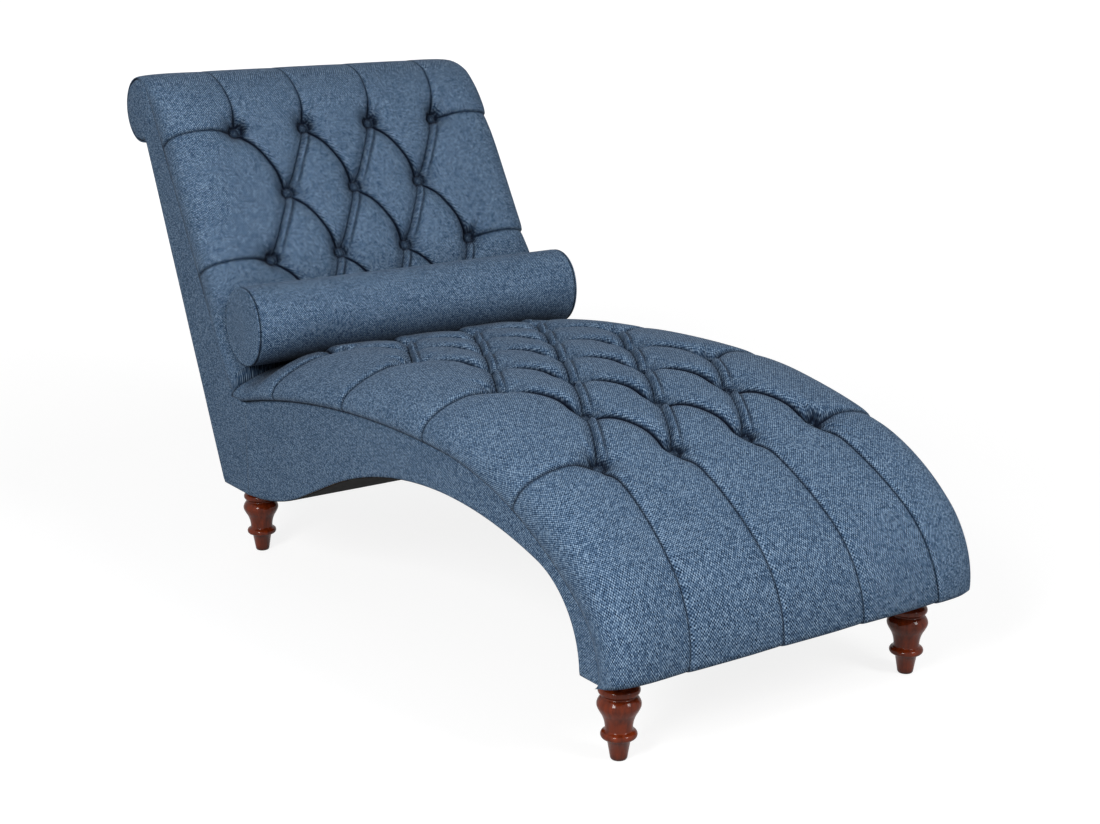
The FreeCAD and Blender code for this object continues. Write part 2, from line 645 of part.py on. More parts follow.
def stitched_loft(sections):
    """A solid through matching polygons, its twisted quads split along a diagonal."""
    faces = [Part.Face(Part.makePolygon([*corners, corners[0]])) for corners in (sections[0], sections[-1])]
    for near, far in zip(sections, sections[1:]):
        for index in range(len(near)):
            following = (index + 1) % len(near)
            corners = (near[index], near[following], far[following], far[index])
            normal = (corners[1] - corners[0]).cross(corners[3] - corners[0]).normalize()
            flat = abs((corners[2] - corners[0]).dot(normal)) < FLATNESS
            pieces = [corners] if flat else [corners[:3], (corners[0], *corners[2:])]
            faces += [Part.Face(Part.makePolygon([*piece, piece[0]])) for piece in pieces]
    shell = Part.makeShell(faces)
    shell.sewShape()
    solid = Part.Solid(shell)
    if solid.Volume < 0:
        solid.reverse()
    return solid


def row_stations(rows, kinds):
    """Sections before and behind each row's buttons, on the way to the next row and half-way to it."""
    seat = size("button_radius") + size("button_room")
    half = (rows[1] - rows[0]) / 2
    on_the_way = seat + BETWEEN * (half - seat)
    result = []
    for number, distance in enumerate(rows):
        kind = kinds[number % 2]
        if number:
            result += [(distance - half, kind, 1.0), (distance - on_the_way, kind, BETWEEN)]
        result += [(distance - seat, kind, 0.0), (distance + seat, kind, 0.0)]
        if number + 1 < len(rows):
            result.append((distance + on_the_way, kind, BETWEEN))
    return result


def bulge(route, start, finish):
    """How far a route rises above the chord between two places on it."""
    (near, _), (middle, heading), (far, _) = route(start), route((start + finish) / 2), route(finish)
    off = (middle[0] - (near[0] + far[0]) / 2, middle[1] - (near[1] + far[1]) / 2)
    return off[0] * math.cos(heading + TURN_UP) + off[1] * math.sin(heading + TURN_UP)


def build_pad(label, route, plan, pitch, height_at, flank_at, first_row, lowest):
    """plan: (distance, row kind, share, buttoned). Below lowest the sections turn to the mitre.
    Gives back where the bottom of the pleats is at each section."""
    sections, floors = [], []
    places = [step[0] for step in plan]
    for number, (distance, row, share, buttoned) in enumerate(plan):
        point, heading = route(distance)
        upright = heading + TURN_UP
        turn = min(1.0, max(0.0, lowest(distance)))
        angle = upright + (mitre - upright) * turn ** 1.5
        near = places[max(0, number - 1):number + 2]
        lift = size("soft_gap") + max(0.0, *(bulge(route, *pair) for pair in zip(near, near[1:])))
        base = along(point, angle, lift)
        height = pressed(base, angle, height_at(distance, point, angle) - lift)
        seat = size("button_radius") + size("button_room") if buttoned else size("slit_width") / 2
        fan = size("toe_fan") * max(0.0, 1 - distance / first_row) if first_row else 0.0
        side, shoulder = flank_at(distance)
        sections.append(pad_section(base, angle, height, pitch, row, share, seat, side, shoulder, fan))
        full = min(1.0, height / size("pad_depth"))
        floors.append((distance, along(base, angle, height - full * size("button_pull"))))
    piece = doc.addObject("Part::Feature", label)
    piece.Label = label
    piece.Shape = stitched_loft(sections)
    return floors


def seat_route(distance):
    """The deck line carried on round the corner to the mitre."""
    if distance <= deck.length:
        return deck.spot(distance)
    return back.spot(distance - deck.length)


def seat_height(distance, base, angle):
    rise = ease(min(1.0, distance / size("first_row")))
    return size("toe_depth") + (size("pad_depth") - size("toe_depth")) * rise


def seat_flank(distance):
    """Half the pad's width, and the width of its shoulder, which is narrow at the toe."""
    share = min(1.0, distance / size("first_row"))
    shoulder = size("shoulder_width") + (size("seat_shoulder") - size("shoulder_width")) * share
    return size("pad_width") / 2, shoulder


def back_flank(distance):
    """The back pad narrows to the frame where it wraps the scroll."""
    share = min(1.0, max(0.0, (distance - scroll_at) / (brow_end - scroll_at)))
    return size("pad_width") / 2 + (pad_foot - size("pad_width") / 2) * share, size("shoulder_width")


def back_height(distance, base, angle):
    if distance < scroll_at - brow_back:
        return size("pad_depth")
    if distance < brow_end:
        return ray_to_circle(base, angle, brow_centre, brow_radius, far=True)
    return wrap - size("core_radius")


SEAT_ROWS = 7
seat_rows = [size("first_row") + row * size("row_pitch") for row in range(SEAT_ROWS)]
mitre_reach = corner_radius * corner_turn / 2
seat_end_at = deck.length + mitre_reach - size("soft_gap") / 2
seat_rest = deck.length - seat_rows[-1]
seat_plan = [(share * seat_rows[0], "four", 0.0, False) for share in (0, 0.1, 0.2, 0.3, 0.4, 0.6, 0.8)]
seat_plan += [(*station, True) for station in row_stations(seat_rows, ("four", "three"))]
seat_plan += [(seat_rows[-1] + share * seat_rest, "four", 0.0, False) for share in (0.3, 0.6, 1)]
seat_plan += [(seat_end_at, "four", 0.0, False)]
seat_floors = build_pad("seat_pad", seat_route, seat_plan, size("seat_pitch"), seat_height,
                        seat_flank, seat_rows[0],
                        lambda distance: (distance - seat_rows[-1]) / (seat_end_at - seat_rows[-1]))

BACK_ROWS = 4
back_rows = [scroll_at - size("top_row") - (BACK_ROWS - 1 - row) * size("back_row_pitch")
             for row in range(BACK_ROWS)]
brow_touch = math.atan2(scroll_centre[1] - brow_centre[1], scroll_centre[0] - brow_centre[0])
brow_end = scroll_at + (front_angle - brow_touch) * size("core_radius")
tail_end = back.length - size("cover_thickness") - 2 * size("soft_gap")
back_start = mitre_reach + size("soft_gap") / 2
TAIL_STEPS = 10
back_plan = [(back_start, "three", 0.0, False), (2 * mitre_reach, "three", 0.0, False)]
back_plan += [(*station, True) for station in row_stations(back_rows, ("three", "four"))]
scroll_steps = [back_rows[-1] + share * size("top_row") for share in (0.3, 0.63, 1)]
scroll_steps += [scroll_at + share * (brow_end - scroll_at) for share in (0.33, 0.67, 1.0)]
scroll_steps += [brow_end + step / TAIL_STEPS * (tail_end - brow_end) for step in range(1, TAIL_STEPS + 1)]
back_plan += [(distance, "four", 0.0, False) for distance in scroll_steps]
back_floors = build_pad("back_pad", back.spot, back_plan, size("back_pitch"), back_height,
                        back_flank, 0,
                        lambda distance: (back_rows[0] - distance) / (back_rows[0] - back_start))


# Covered buttons sit where the pleats meet, pulled in below the crests.
BUTTON_SIDES = 12
BUTTON_FORM = ((1, 0), (1, 0.45), (0.6, 1))


def domed_button():
    rings = []
    for across, rise in BUTTON_FORM:
        radius, level = across * size("button_radius"), rise * size("button_height")
        turns = [2 * math.pi * step / BUTTON_SIDES for step in range(BUTTON_SIDES)]
        rings.append([V(radius * math.cos(turn), radius * math.sin(turn), level) for turn in turns])
    return stitched_loft(rings)


def button_group(label, rows, kinds, floors, pitch):
    """Buttons on the flat floor between the two sections at each row."""
    button = domed_button()
    copies = []
    for number, distance in enumerate(rows):
        before = [point for place, point in floors if place < distance][-1]
        behind = [point for place, point in floors if place > distance][0]
        heading = math.atan2(behind[1] - before[1], behind[0] - before[0])
        middle = ((before[0] + behind[0]) / 2, (before[1] + behind[1]) / 2)
        place = along(middle, heading + TURN_UP, size("soft_gap"))
        for column in COLUMNS[kinds[number % 2]]:
            copy = button.copy()
            spin = FreeCAD.Rotation(V(1, 0, 0), math.degrees(heading))
            copy.Placement = FreeCAD.Placement(V(column * pitch, *place), spin)
            copies.append(copy)
    group = doc.addObject("Part::Feature", label)
    group.Label = label
    group.Shape = Part.makeCompound(copies)


button_group("seat_buttons", seat_rows, ("four", "three"), seat_floors, size("seat_pitch"))
button_group("back_buttons", back_rows, ("three", "four"), back_floors, size("back_pitch"))

# Every node is checked, then written to a file of its own.
doc.recompute()
members = {member.Name for group in doc.findObjects("Part::Compound") for member in group.Links}
node_types = ("PartDesign::Body", "Part::Box", "Part::Compound", "Part::Feature")
nodes = [thing for thing in doc.Objects if thing.TypeId in node_types and thing.Name not in members]
faulty = [thing.Label for thing in doc.Objects if {"Invalid", "Error"} & set(thing.State)]
faulty += [node.Label for node in nodes if node.Shape.isNull() or not node.Shape.isValid()]
if faulty:
    raise RuntimeError("Faulty: " + ", ".join(faulty))
os.makedirs("parts", exist_ok=True)
for node in nodes:
    node.Shape.exportStep("parts/%s.step" % node.Label)
    print(node.Label, "%.0f mm3" % node.Shape.Volume)
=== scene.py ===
# %% [markdown]
# A tufted chaise longue. The frame, the legs' places and the outer size come from the construction
# model. Here each visible piece gets its cloth, folds, polish and light. We start by loading that
# model: every part of it arrives as an object that we may dress or replace, but never move.

# %% Load the construction model
import json
import math
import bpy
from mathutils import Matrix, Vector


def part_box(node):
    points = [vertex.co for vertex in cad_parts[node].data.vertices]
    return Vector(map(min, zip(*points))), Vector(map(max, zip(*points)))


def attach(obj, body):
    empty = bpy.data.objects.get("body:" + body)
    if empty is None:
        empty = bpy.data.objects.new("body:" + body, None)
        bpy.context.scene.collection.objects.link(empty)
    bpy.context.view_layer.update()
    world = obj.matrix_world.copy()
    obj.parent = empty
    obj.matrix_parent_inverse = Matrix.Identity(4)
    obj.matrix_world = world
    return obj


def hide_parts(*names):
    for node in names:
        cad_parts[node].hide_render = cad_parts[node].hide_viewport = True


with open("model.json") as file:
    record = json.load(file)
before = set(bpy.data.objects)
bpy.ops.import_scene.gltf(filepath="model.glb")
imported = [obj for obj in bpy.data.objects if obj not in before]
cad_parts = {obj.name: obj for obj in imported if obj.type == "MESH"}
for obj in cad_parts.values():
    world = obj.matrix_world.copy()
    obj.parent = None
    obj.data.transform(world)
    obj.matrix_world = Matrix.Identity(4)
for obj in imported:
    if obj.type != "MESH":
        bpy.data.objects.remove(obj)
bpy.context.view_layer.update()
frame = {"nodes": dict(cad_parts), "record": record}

from types import SimpleNamespace

import bpy
import numpy as np
from mathutils import Matrix, Vector
from mathutils.geometry import delaunay_2d_cdt

# %% [markdown]
# The camera. Its place was fitted to the photograph's long edges and feet, so the same lens and
# angle are set here. Up points along +Z, the foot end looks towards -Y.

# %% Camera
CAMERA_PLACE = (-1.69898, -2.61243, 1.11105)
CAMERA_AZIMUTH = math.radians(-34.442)
CAMERA_ELEVATION = math.radians(14.698)
CAMERA_ROLL = math.radians(-0.163)
LENS_MM = 63.612
SENSOR_MM = 36.0
UP = math.pi / 2


def add_object(name, data):
    made = bpy.data.objects.new(name, data)
    bpy.context.scene.collection.objects.link(made)
    return made


def add_camera():
    data = bpy.data.cameras.new("photo_camera")
    data.lens = LENS_MM
    data.sensor_width = SENSOR_MM
    data.clip_end = 60.0
    made = add_object("photo_camera", data)
    turn = Matrix.Rotation(CAMERA_AZIMUTH, 4, "Z") @ Matrix.Rotation(UP - CAMERA_ELEVATION, 4, "X")
    made.matrix_world = Matrix.Translation(CAMERA_PLACE) @ turn @ Matrix.Rotation(CAMERA_ROLL, 4, "Z")
    bpy.context.scene.camera = made
    return made


camera = add_camera()
bpy.context.view_layer.update()
print("camera's right, up and back", camera.matrix_world.to_3x3().transposed())

# %% [markdown]
# Shader maths as plain expressions. A small class wraps a socket, so that mask * 0.5 + 0.2 adds the
# Math nodes for us. It keeps each material short enough to read.

# %% Shader helper
class Shade:
    """A node socket that understands + - * ** and two named functions."""

    def __init__(self, tree, socket):
        self.tree = tree
        self.socket = socket

    def maths(self, operation, *values):
        return Paint(self.tree).node("ShaderNodeMath", {"operation": operation}, *values)

    def __add__(self, other):
        return self.maths("ADD", self, other)

    def __sub__(self, other):
        return self.maths("SUBTRACT", self, other)

    def __rsub__(self, other):
        return self.maths("SUBTRACT", other, self)

    def __mul__(self, other):
        return self.maths("MULTIPLY", self, other)

    def __pow__(self, other):
        return self.maths("POWER", self, other)

    __radd__ = __add__
    __rmul__ = __mul__

    def clamped(self):
        return Paint(self.tree).node("ShaderNodeClamp", {}, self, 0.0, 1.0)

    def sine(self):
        return self.maths("SINE", self)


class Paint:
    """Builds one node tree."""

    def __init__(self, tree):
        self.tree = tree

    def put(self, value, socket):
        """Links a shade to a socket, or sets the socket's own value."""
        if isinstance(value, Shade):
            self.tree.links.new(value.socket, socket)
        else:
            socket.default_value = value

    def node(self, kind, settings, *values, output=None, **named):
        """Adds a node, sets its settings, then its inputs in order and by name."""
        made = self.tree.nodes.new(kind)
        for name, value in settings.items():
            setattr(made, name, value)
        for index, value in enumerate(values):
            self.put(value, made.inputs[index])
        for name, value in named.items():
            self.put(value, made.inputs[name.replace("_", " ")])
        if output is None:
            output = next(index for index, socket in enumerate(made.outputs) if socket.enabled)
        return Shade(self.tree, made.outputs[output])

    def mix(self, factor, first, second):
        """A mix of two colours."""
        made = self.tree.nodes.new("ShaderNodeMix")
        made.data_type = "RGBA"
        for key, value in ((0, factor), (6, first), (7, second)):
            self.put(value, made.inputs[key])
        return Shade(self.tree, made.outputs[2])

    def ramp(self, factor, first, middle, last):
        """A colour that runs from the first over the middle one, at 0.5, to the last."""
        made = self.node("ShaderNodeValToRGB", {}, factor)
        stops = made.socket.node.color_ramp.elements
        stops.new(0.5)
        for stop, colour in zip(stops, (first, middle, last)):
            stop.color = colour
        return made

    def noise(self, place, scale, detail, **more):
        return self.node("ShaderNodeTexNoise", {}, place, Scale=scale, Detail=detail, **more)

    def stretched(self, place, scales):
        return self.node("ShaderNodeMapping", {}, place, Scale=scales)

    def bump(self, height, strength, distance):
        return self.node("ShaderNodeBump", {}, Strength=strength, Distance=distance, Height=height)

    def openness(self, distance):
        """1 on open surfaces, less where something stands within the distance."""
        return self.node("ShaderNodeAmbientOcclusion", {"samples": 8}, output="AO", Distance=distance)

    def place(self):
        return self.node("ShaderNodeTexCoord", {}, output="Object")

    def cloth_place(self):
        return self.node("ShaderNodeUVMap", {"uv_map": "cloth"})


def new_material(name):
    material = bpy.data.materials.new(name)
    material.use_nodes = True
    return material, Paint(material.node_tree), material.node_tree.nodes["Principled BSDF"]


def feed(paint, shader, **sockets):
    """Links or sets the shader's sockets, named with underscores."""
    for name, value in sockets.items():
        paint.put(value, shader.inputs[name.replace("_", " ")])


def from_screen(*channels):
    """A screen colour, 0 to 255, as the linear numbers that shaders use."""
    linear = [((c / 255 + 0.055) / 1.055) ** 2.4 if c > 10 else c / 255 / 12.92 for c in channels]
    return (*linear, 1.0)


# %% [markdown]
# The cloth is a denim-blue plain weave of thick uneven yarns. Pale and dark crossings alternate like
# a chessboard, each crossing has its own shade, fine flecks are strewn over it, and every yarn
# swells and thins along its length. The weave follows each piece's own UV map, laid out in metres,
# and lifts the surface a little. Painted shade darkens seams and pleats where a point's own
# attribute says so, and painted occlusion shade darkens cloth that other cloth hides.

# %% Cloth
CLOTH_DARK = from_screen(16, 30, 50)
CLOTH_MAIN = from_screen(72, 99, 130)
CLOTH_PALE = from_screen(160, 186, 212)
# The colour that painted shade darkens the cloth towards.
CREASE_SHADE = from_screen(12, 20, 34)
YARN_PITCH = 0.0019
WANDER = (0.0016, 0.0016, 0.0)
SHADOW_REACH = 0.08


def cloth_material(name):
    material, paint, shader = new_material(name)
    place = paint.cloth_place()
    wander = paint.noise(place, 55.0, 1.0, output="Color")
    moved = paint.node("ShaderNodeVectorMath", {"operation": "MULTIPLY_ADD"}, wander, WANDER, place)
    yarns = paint.node("ShaderNodeVectorMath", {"operation": "SCALE"}, moved, Scale=1.0 / YARN_PITCH)
    across = paint.node("ShaderNodeSeparateXYZ", {}, yarns)
    along = Shade(paint.tree, across.socket.node.outputs[1])
    crossing_shade = (across * math.pi).sine() * (along * math.pi).sine()
    cell = paint.node("ShaderNodeVectorMath", {"operation": "FLOOR"}, yarns)
    own_shade = paint.node("ShaderNodeTexWhiteNoise", {"noise_dimensions": "2D"}, cell)
    weft = paint.noise(paint.stretched(place, (520.0, 70.0, 1.0)), 1.0, 2.0)
    warp = paint.noise(paint.stretched(place, (70.0, 520.0, 1.0)), 1.0, 2.0)
    cloud = paint.noise(place, 12.0, 3.0)
    fleck = paint.noise(place, 330.0, 2.0, Roughness=0.7)
    slubs = weft * 0.4 + warp * 0.4 - 0.4
    shades = (own_shade - 0.5) * 0.4 + (fleck - 0.5) * 0.9 + (cloud - 0.5) * 0.1
    tone = (crossing_shade * 0.4 + slubs + shades + 0.5).clamped()
    woven = paint.ramp(tone, CLOTH_DARK, CLOTH_MAIN, CLOTH_PALE)
    # Painted shade: the point attribute darkens pleats, seams and buttons, and occlusion darkens hidden
    # cloth.
    painted_shade = paint.node("ShaderNodeAttribute", {"attribute_name": "painted_shade"}, output="Fac")
    painted_occlusion_shade = (1.0 - paint.openness(SHADOW_REACH)) * 0.85
    colour = paint.mix((painted_shade * 0.9 + painted_occlusion_shade).clamped(), woven, CREASE_SHADE)
    height = crossing_shade * 0.35 + weft * 0.5 + warp * 0.5 + own_shade * 0.2
    feed(paint, shader, Base_Color=colour, Roughness=0.9, Normal=paint.bump(height, 0.5, 0.0007),
         Sheen_Weight=0.04, Sheen_Roughness=0.5, Specular_IOR_Level=0.05)
    return material


cloth = cloth_material("denim_blue_cloth")
print("cloth nodes", len(cloth.node_tree.nodes))

# %% [markdown]
# Every visible piece becomes a plain mesh at the origin with a cloth map in metres. It then takes the
# place of one part of the construction model.

# %% Pieces
def quads(*corners):
    """Faces from four grids of point numbers, one for each corner."""
    return [tuple(face) for face in np.stack(corners, -1).reshape(-1, 4).tolist()]


def bell(distance, half):
    """1 at no distance, falling smoothly to nothing."""
    return np.exp(-(distance / half) ** 2)


def share_between(value, start, end):
    """0 up to the start, 1 from the end on."""
    return np.clip((value - start) / (end - start), 0, 1)


def quarter_circle(share):
    """Rises from 0 to 1 as a rolled edge does."""
    return np.sqrt(1 - (1 - share) ** 2)


def make_piece(name, points, faces, flat, material, painted_shade=None):
    """A mesh object. flat is each point's place on its cloth in metres, and the last argument how much
    painted shade each point takes.
    """
    mesh = bpy.data.meshes.new(name)
    mesh.from_pydata(np.asarray(points).tolist(), [], faces)
    loops = np.zeros(len(mesh.loops), np.int32)
    mesh.loops.foreach_get("vertex_index", loops)
    layer = mesh.uv_layers.new(name="cloth")
    layer.uv.foreach_set("vector", np.asarray(flat)[loops].astype(np.float32).ravel())
    if painted_shade is not None:
        shades = mesh.attributes.new("painted_shade", "FLOAT", "POINT")
        shades.data.foreach_set("value", np.ravel(painted_shade).astype(np.float32))
    mesh.materials.append(material)
    mesh.shade_smooth()
    print(name, len(mesh.vertices), "points", len(mesh.polygons), "faces")
    return add_object(name, mesh)


def dress(piece, node):
    """Puts a finished piece in the place of the construction model's node."""
    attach(piece, "root")
    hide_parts(node)


# %% [markdown]
# Routes. Seen from the side, the seat and the back are chains of arcs and straight runs, the same
# ones that the construction model was drawn with. A route turns a distance along the cloth into a
# place and a heading, for a whole array of distances at once.

# %% Routes seen from the side
MM = 0.001


class Route:
    """Tangent arcs and straight runs in the Y-Z plane. A positive radius turns clockwise."""

    def __init__(self, start, heading, pieces):
        self.pieces = []
        at, place = 0.0, np.array(start, float)
        for length, radius in pieces:
            self.pieces.append((at, place, heading, radius))
            place, heading = self.walk(place, heading, length, radius)
            at += length
        self.length, self.end, self.heading = at, place, heading

    @staticmethod
    def walk(place, heading, length, radius):
        length = np.asarray(length, float)
        if radius == 0:
            return place + length[..., None] * direction(heading), heading + 0 * length
        after = heading - length / radius
        step = np.stack([radius * (math.sin(heading) - np.sin(after)),
                         radius * (np.cos(after) - math.cos(heading))], -1)
        return place + step, after

    def at(self, distance):
        distance = np.asarray(distance, float)
        places, headings = np.zeros(distance.shape + (2,)), np.zeros(distance.shape)
        for number, (start, place, heading, radius) in enumerate(self.pieces):
            chosen = distance >= start if number else np.ones(distance.shape, bool)
            found, turned_to = self.walk(place, heading, distance[chosen] - start, radius)
            places[chosen], headings[chosen] = found, turned_to
        return places, headings


def direction(angle):
    return np.stack([np.cos(angle), np.sin(angle)], -1)


def degrees_arc(radius, sweep):
    return (abs(radius) * math.radians(sweep), radius)


def crossing(first, first_angle, second, second_angle):
    """Distance along the first line to where it meets the second."""
    step = second - first
    aside = step[0] * math.sin(second_angle) - step[1] * math.cos(second_angle)
    return aside / math.sin(second_angle - first_angle)


LEG_HEIGHT = 127 * MM
deck = Route((-715.4 * MM, LEG_HEIGHT), UP, [
    degrees_arc(130 * MM, 52), degrees_arc(600 * MM, 35), degrees_arc(2160 * MM, 17)])
SCROLL_CENTRE = np.array([694.6, 753]) * MM
CORE_RADIUS = 54 * MM
WRAP_RADIUS = 61 * MM
BROW_RADIUS = 158 * MM
BACK_LEAN = UP - math.radians(31)
REAR_FOOT = np.array([410.6, 127]) * MM
REAR_LEAN = UP - math.radians(25)
corner_turn = BACK_LEAN - deck.heading
scroll_start = SCROLL_CENTRE + CORE_RADIUS * direction(BACK_LEAN + UP)
to_corner = crossing(deck.end, float(deck.heading), scroll_start, BACK_LEAN)
corner_radius = to_corner / math.tan(corner_turn / 2)
corner_length = corner_radius * corner_turn
from_corner = np.linalg.norm(scroll_start - deck.end - to_corner * direction(deck.heading))
back_line = from_corner - to_corner
centre_off_rear = np.dot(SCROLL_CENTRE - REAR_FOOT, direction(REAR_LEAN - UP))
rear_line = (np.dot(SCROLL_CENTRE - REAR_FOOT, direction(REAR_LEAN))
             - math.sqrt(CORE_RADIUS ** 2 - centre_off_rear ** 2))
rear_top = REAR_FOOT + rear_line * direction(REAR_LEAN)
head_sweep = BACK_LEAN + UP - math.atan2(*(rear_top - SCROLL_CENTRE)[::-1])
back = Route(deck.end, float(deck.heading), [
    (corner_length, -corner_radius), (back_line, 0.0), (CORE_RADIUS * head_sweep, CORE_RADIUS)])
print("deck length %.4f, back length %.4f, corner radius %.4f" % (deck.length, back.length, corner_radius))

# %% [markdown]
# The tufted pads. Foam is pulled down by buttons in staggered rows, and the spare cloth between two
# buttons is folded into a pleat. So each pad is one sheet of points laid over a smooth crest, where
# every pleat runs along the sheet's own grid lines or diagonals. A depth then sinks the points near
# a pleat, and the upper fold slides over the lower one, which gives the dark line under each lip.
# Painted shade along each pleat's line and round each button darkens the cloth there as well.
#
# First the crest: how high it stands over the route, and how its sides roll down to the side seam.

# %% Crest of the pads
SIDE_HALF = 330 * MM
SEAM_HALF = 323 * MM
PAD_DEPTH = 75 * MM
TOE_DEPTH = 43 * MM
GAP = 0.3 * MM
BOLSTER_CENTRE = np.array([304.6, 424]) * MM
BOLSTER_RADIUS = 67 * MM
BOLSTER_ROOM = 1 * MM
MITRE = float(deck.heading) + corner_turn / 2 + UP
JOIN = 205 * MM
CLOTH_HALF = 370 * MM


class SideRoll:
    """One shape of the pad's cross-section: flat in the middle, rolling down to the side seam."""

    def __init__(self, flat_half, power, belly):
        angle = np.linspace(0, UP, 300)
        tuck = np.linspace(0, 1, 60)[1:]
        self.out = np.concatenate([[0.0], flat_half + (SIDE_HALF - flat_half) * np.sin(angle) ** (2 / power),
                                   SIDE_HALF - (SIDE_HALF - SEAM_HALF) * tuck ** 2])
        self.rise = np.concatenate([[1.0], belly + (1 - belly) * np.cos(angle) ** (2 / power),
                                    belly * (1 - tuck)])
        steps = np.hypot(np.diff(self.out), np.diff(self.rise) * PAD_DEPTH)
        self.length = np.concatenate([[0.0], np.cumsum(steps)])

    def at(self, across):
        """Distance out and share of the height, for a distance along the cloth from the middle."""
        scale = (self.length[-1] - JOIN) / (CLOTH_HALF - JOIN)
        along = np.where(across < JOIN, across, JOIN + (across - JOIN) * scale)
        return np.stack([np.interp(along, self.length, self.out), np.interp(along, self.length, self.rise)])


FULL_ROLL = SideRoll(258 * MM, 2.3, 0.38)
WIDE_ROLL = SideRoll(170 * MM, 2.0, 0.16)


def ray_to_circle(points, angles, centre, radius, far):
    """Distance from each point along its angle to a circle's far or near side."""
    gap = centre - points
    middle = (gap * direction(angles)).sum(-1)
    square = middle ** 2 - (gap ** 2).sum(-1) + radius ** 2
    reach = middle + np.sqrt(np.maximum(square, 0)) * (1 if far else -1)
    return np.where((square < 0) | ((middle < 0) & (not far)), np.inf, reach)


def soft_minimum(first, second, blend):
    """The smaller of two, with the corner between them rounded."""
    share = np.clip(0.5 + 0.5 * (second - first) / blend, 0, 1)
    second = np.minimum(second, first + 10 * blend)
    return second + (first - second) * share - blend * share * (1 - share)


def crest(form, across, along):
    """Places on the untufted cloth, for distances across and along it, and the crest's height."""
    place, heading = form.route_at(along)
    upright = heading + UP
    angle = upright + (MITRE - upright) * np.clip(form.turn_at(along), 0, 1) ** 1.5
    height = form.height_at(along, place, angle)
    limit = ray_to_circle(place, angle, BOLSTER_CENTRE, BOLSTER_RADIUS + BOLSTER_ROOM, far=False)
    height = soft_minimum(height, np.minimum(limit, 1.0), 8 * MM)
    full, wide = FULL_ROLL.at(np.abs(across)), WIDE_ROLL.at(np.abs(across))
    out, rise = full + (wide - full) * form.wide_at(along)
    out = np.sign(across) * out * form.width_at(along)
    sides = place + (rise * height + GAP)[..., None] * direction(angle)
    return np.concatenate([out[..., None], sides], -1), height


# %% [markdown]
# The tufting plan. Rows of four buttons alternate with rows of three, half a step aside. Pleats that
# run down to the right are crisp, with the upper lip over the lower; those that run down to the left
# are softer, with a narrow cord-like ridge at their fold. From the outer buttons pleats run over the
# sides, and from the last row they run straight on to the pad's end.

# %% Pleats and buttons of a pad
GRID = 26
SAME_SPOT = 1e-7
COLUMNS = {"four": (-1.5, -0.5, 0.5, 1.5), "three": (-1.0, 0.0, 1.0)}


class Tufting:
    """Buttons and pleats of one pad. Rows count along the cloth, kinds names the two kinds in turn."""

    def __init__(self, first_row, row_pitch, rows, pitch, kinds, start, end):
        self.rows = [first_row + row * row_pitch for row in range(rows)]
        self.kinds = [kinds[row % 2] for row in range(rows)]
        self.pitch, self.row_pitch, self.ends = pitch, row_pitch, (start, end)
        self.buttons = [(column * pitch, at) for at, kind in zip(self.rows, self.kinds)
                        for column in COLUMNS[kind]]
        self.pleats = []
        for x, at in self.buttons:
            for step, kind in ((-1, "soft"), (1, "crisp")):
                other = (x + step * pitch / 2, at - row_pitch)
                if any(math.dist(other, spot) < SAME_SPOT for spot in self.buttons):
                    self.pleats.append((kind, (x, at), other))
            if abs(abs(x) - 1.5 * pitch) < SAME_SPOT:
                self.pleats.append(("side", (x, at), (math.copysign(CLOTH_HALF, x), at)))
            for row, stop in ((0, start), (-1, end)):
                if at == self.rows[row]:
                    self.pleats.append(("run", (x, at), (x, stop)))


# How each kind of pleat sinks: depth half-way, the width and sharpness of the slope on the lip's side,
# the width on the other side, how far the lip slides over, how dark the painted shade on its line is,
# and where the lip is.
PLEAT_FORM = {
    "crisp": (15 * MM, 4 * MM, 0.7, 22 * MM, 4.5 * MM, 1.0, (1, 1)),
    "soft": (17 * MM, 11 * MM, 0.9, 20 * MM, 2.5 * MM, 0.6, (-1, 1)),
    "side": (9 * MM, 4 * MM, 0.7, 18 * MM, 3.0 * MM, 0.8, (0, 1)),
    "run": (11 * MM, 4 * MM, 0.7, 20 * MM, 3.0 * MM, 0.8, (1, 0)),
}
BUTTON_DEPTH = 33 * MM
BUTTON_REACH = 29 * MM
BUTTON_SEAT = 11 * MM
FREE_DEPTH = 8 * MM
# How far from its line a pleat still deepens the cloth, bends it aside, and slides its lip.
DEPTH_REACH = 12 * MM
BOW_REACH = 26 * MM
LIP_REACH = 5 * MM
LINE_HALF = 1.8 * MM
RUN_FADE = 90 * MM
PLEAT_BOW = {"crisp": 6 * MM, "soft": 2.4 * MM}
# The cord-like fold beside a soft pleat: how far from the pleat, its height, its half width, and how
# far from the pleat the thin groove behind it lies.
ROPE_AWAY = 7 * MM
ROPE_HEIGHT = 8 * MM
ROPE_HALF = 3.6 * MM
GROOVE_AWAY = 12.5 * MM


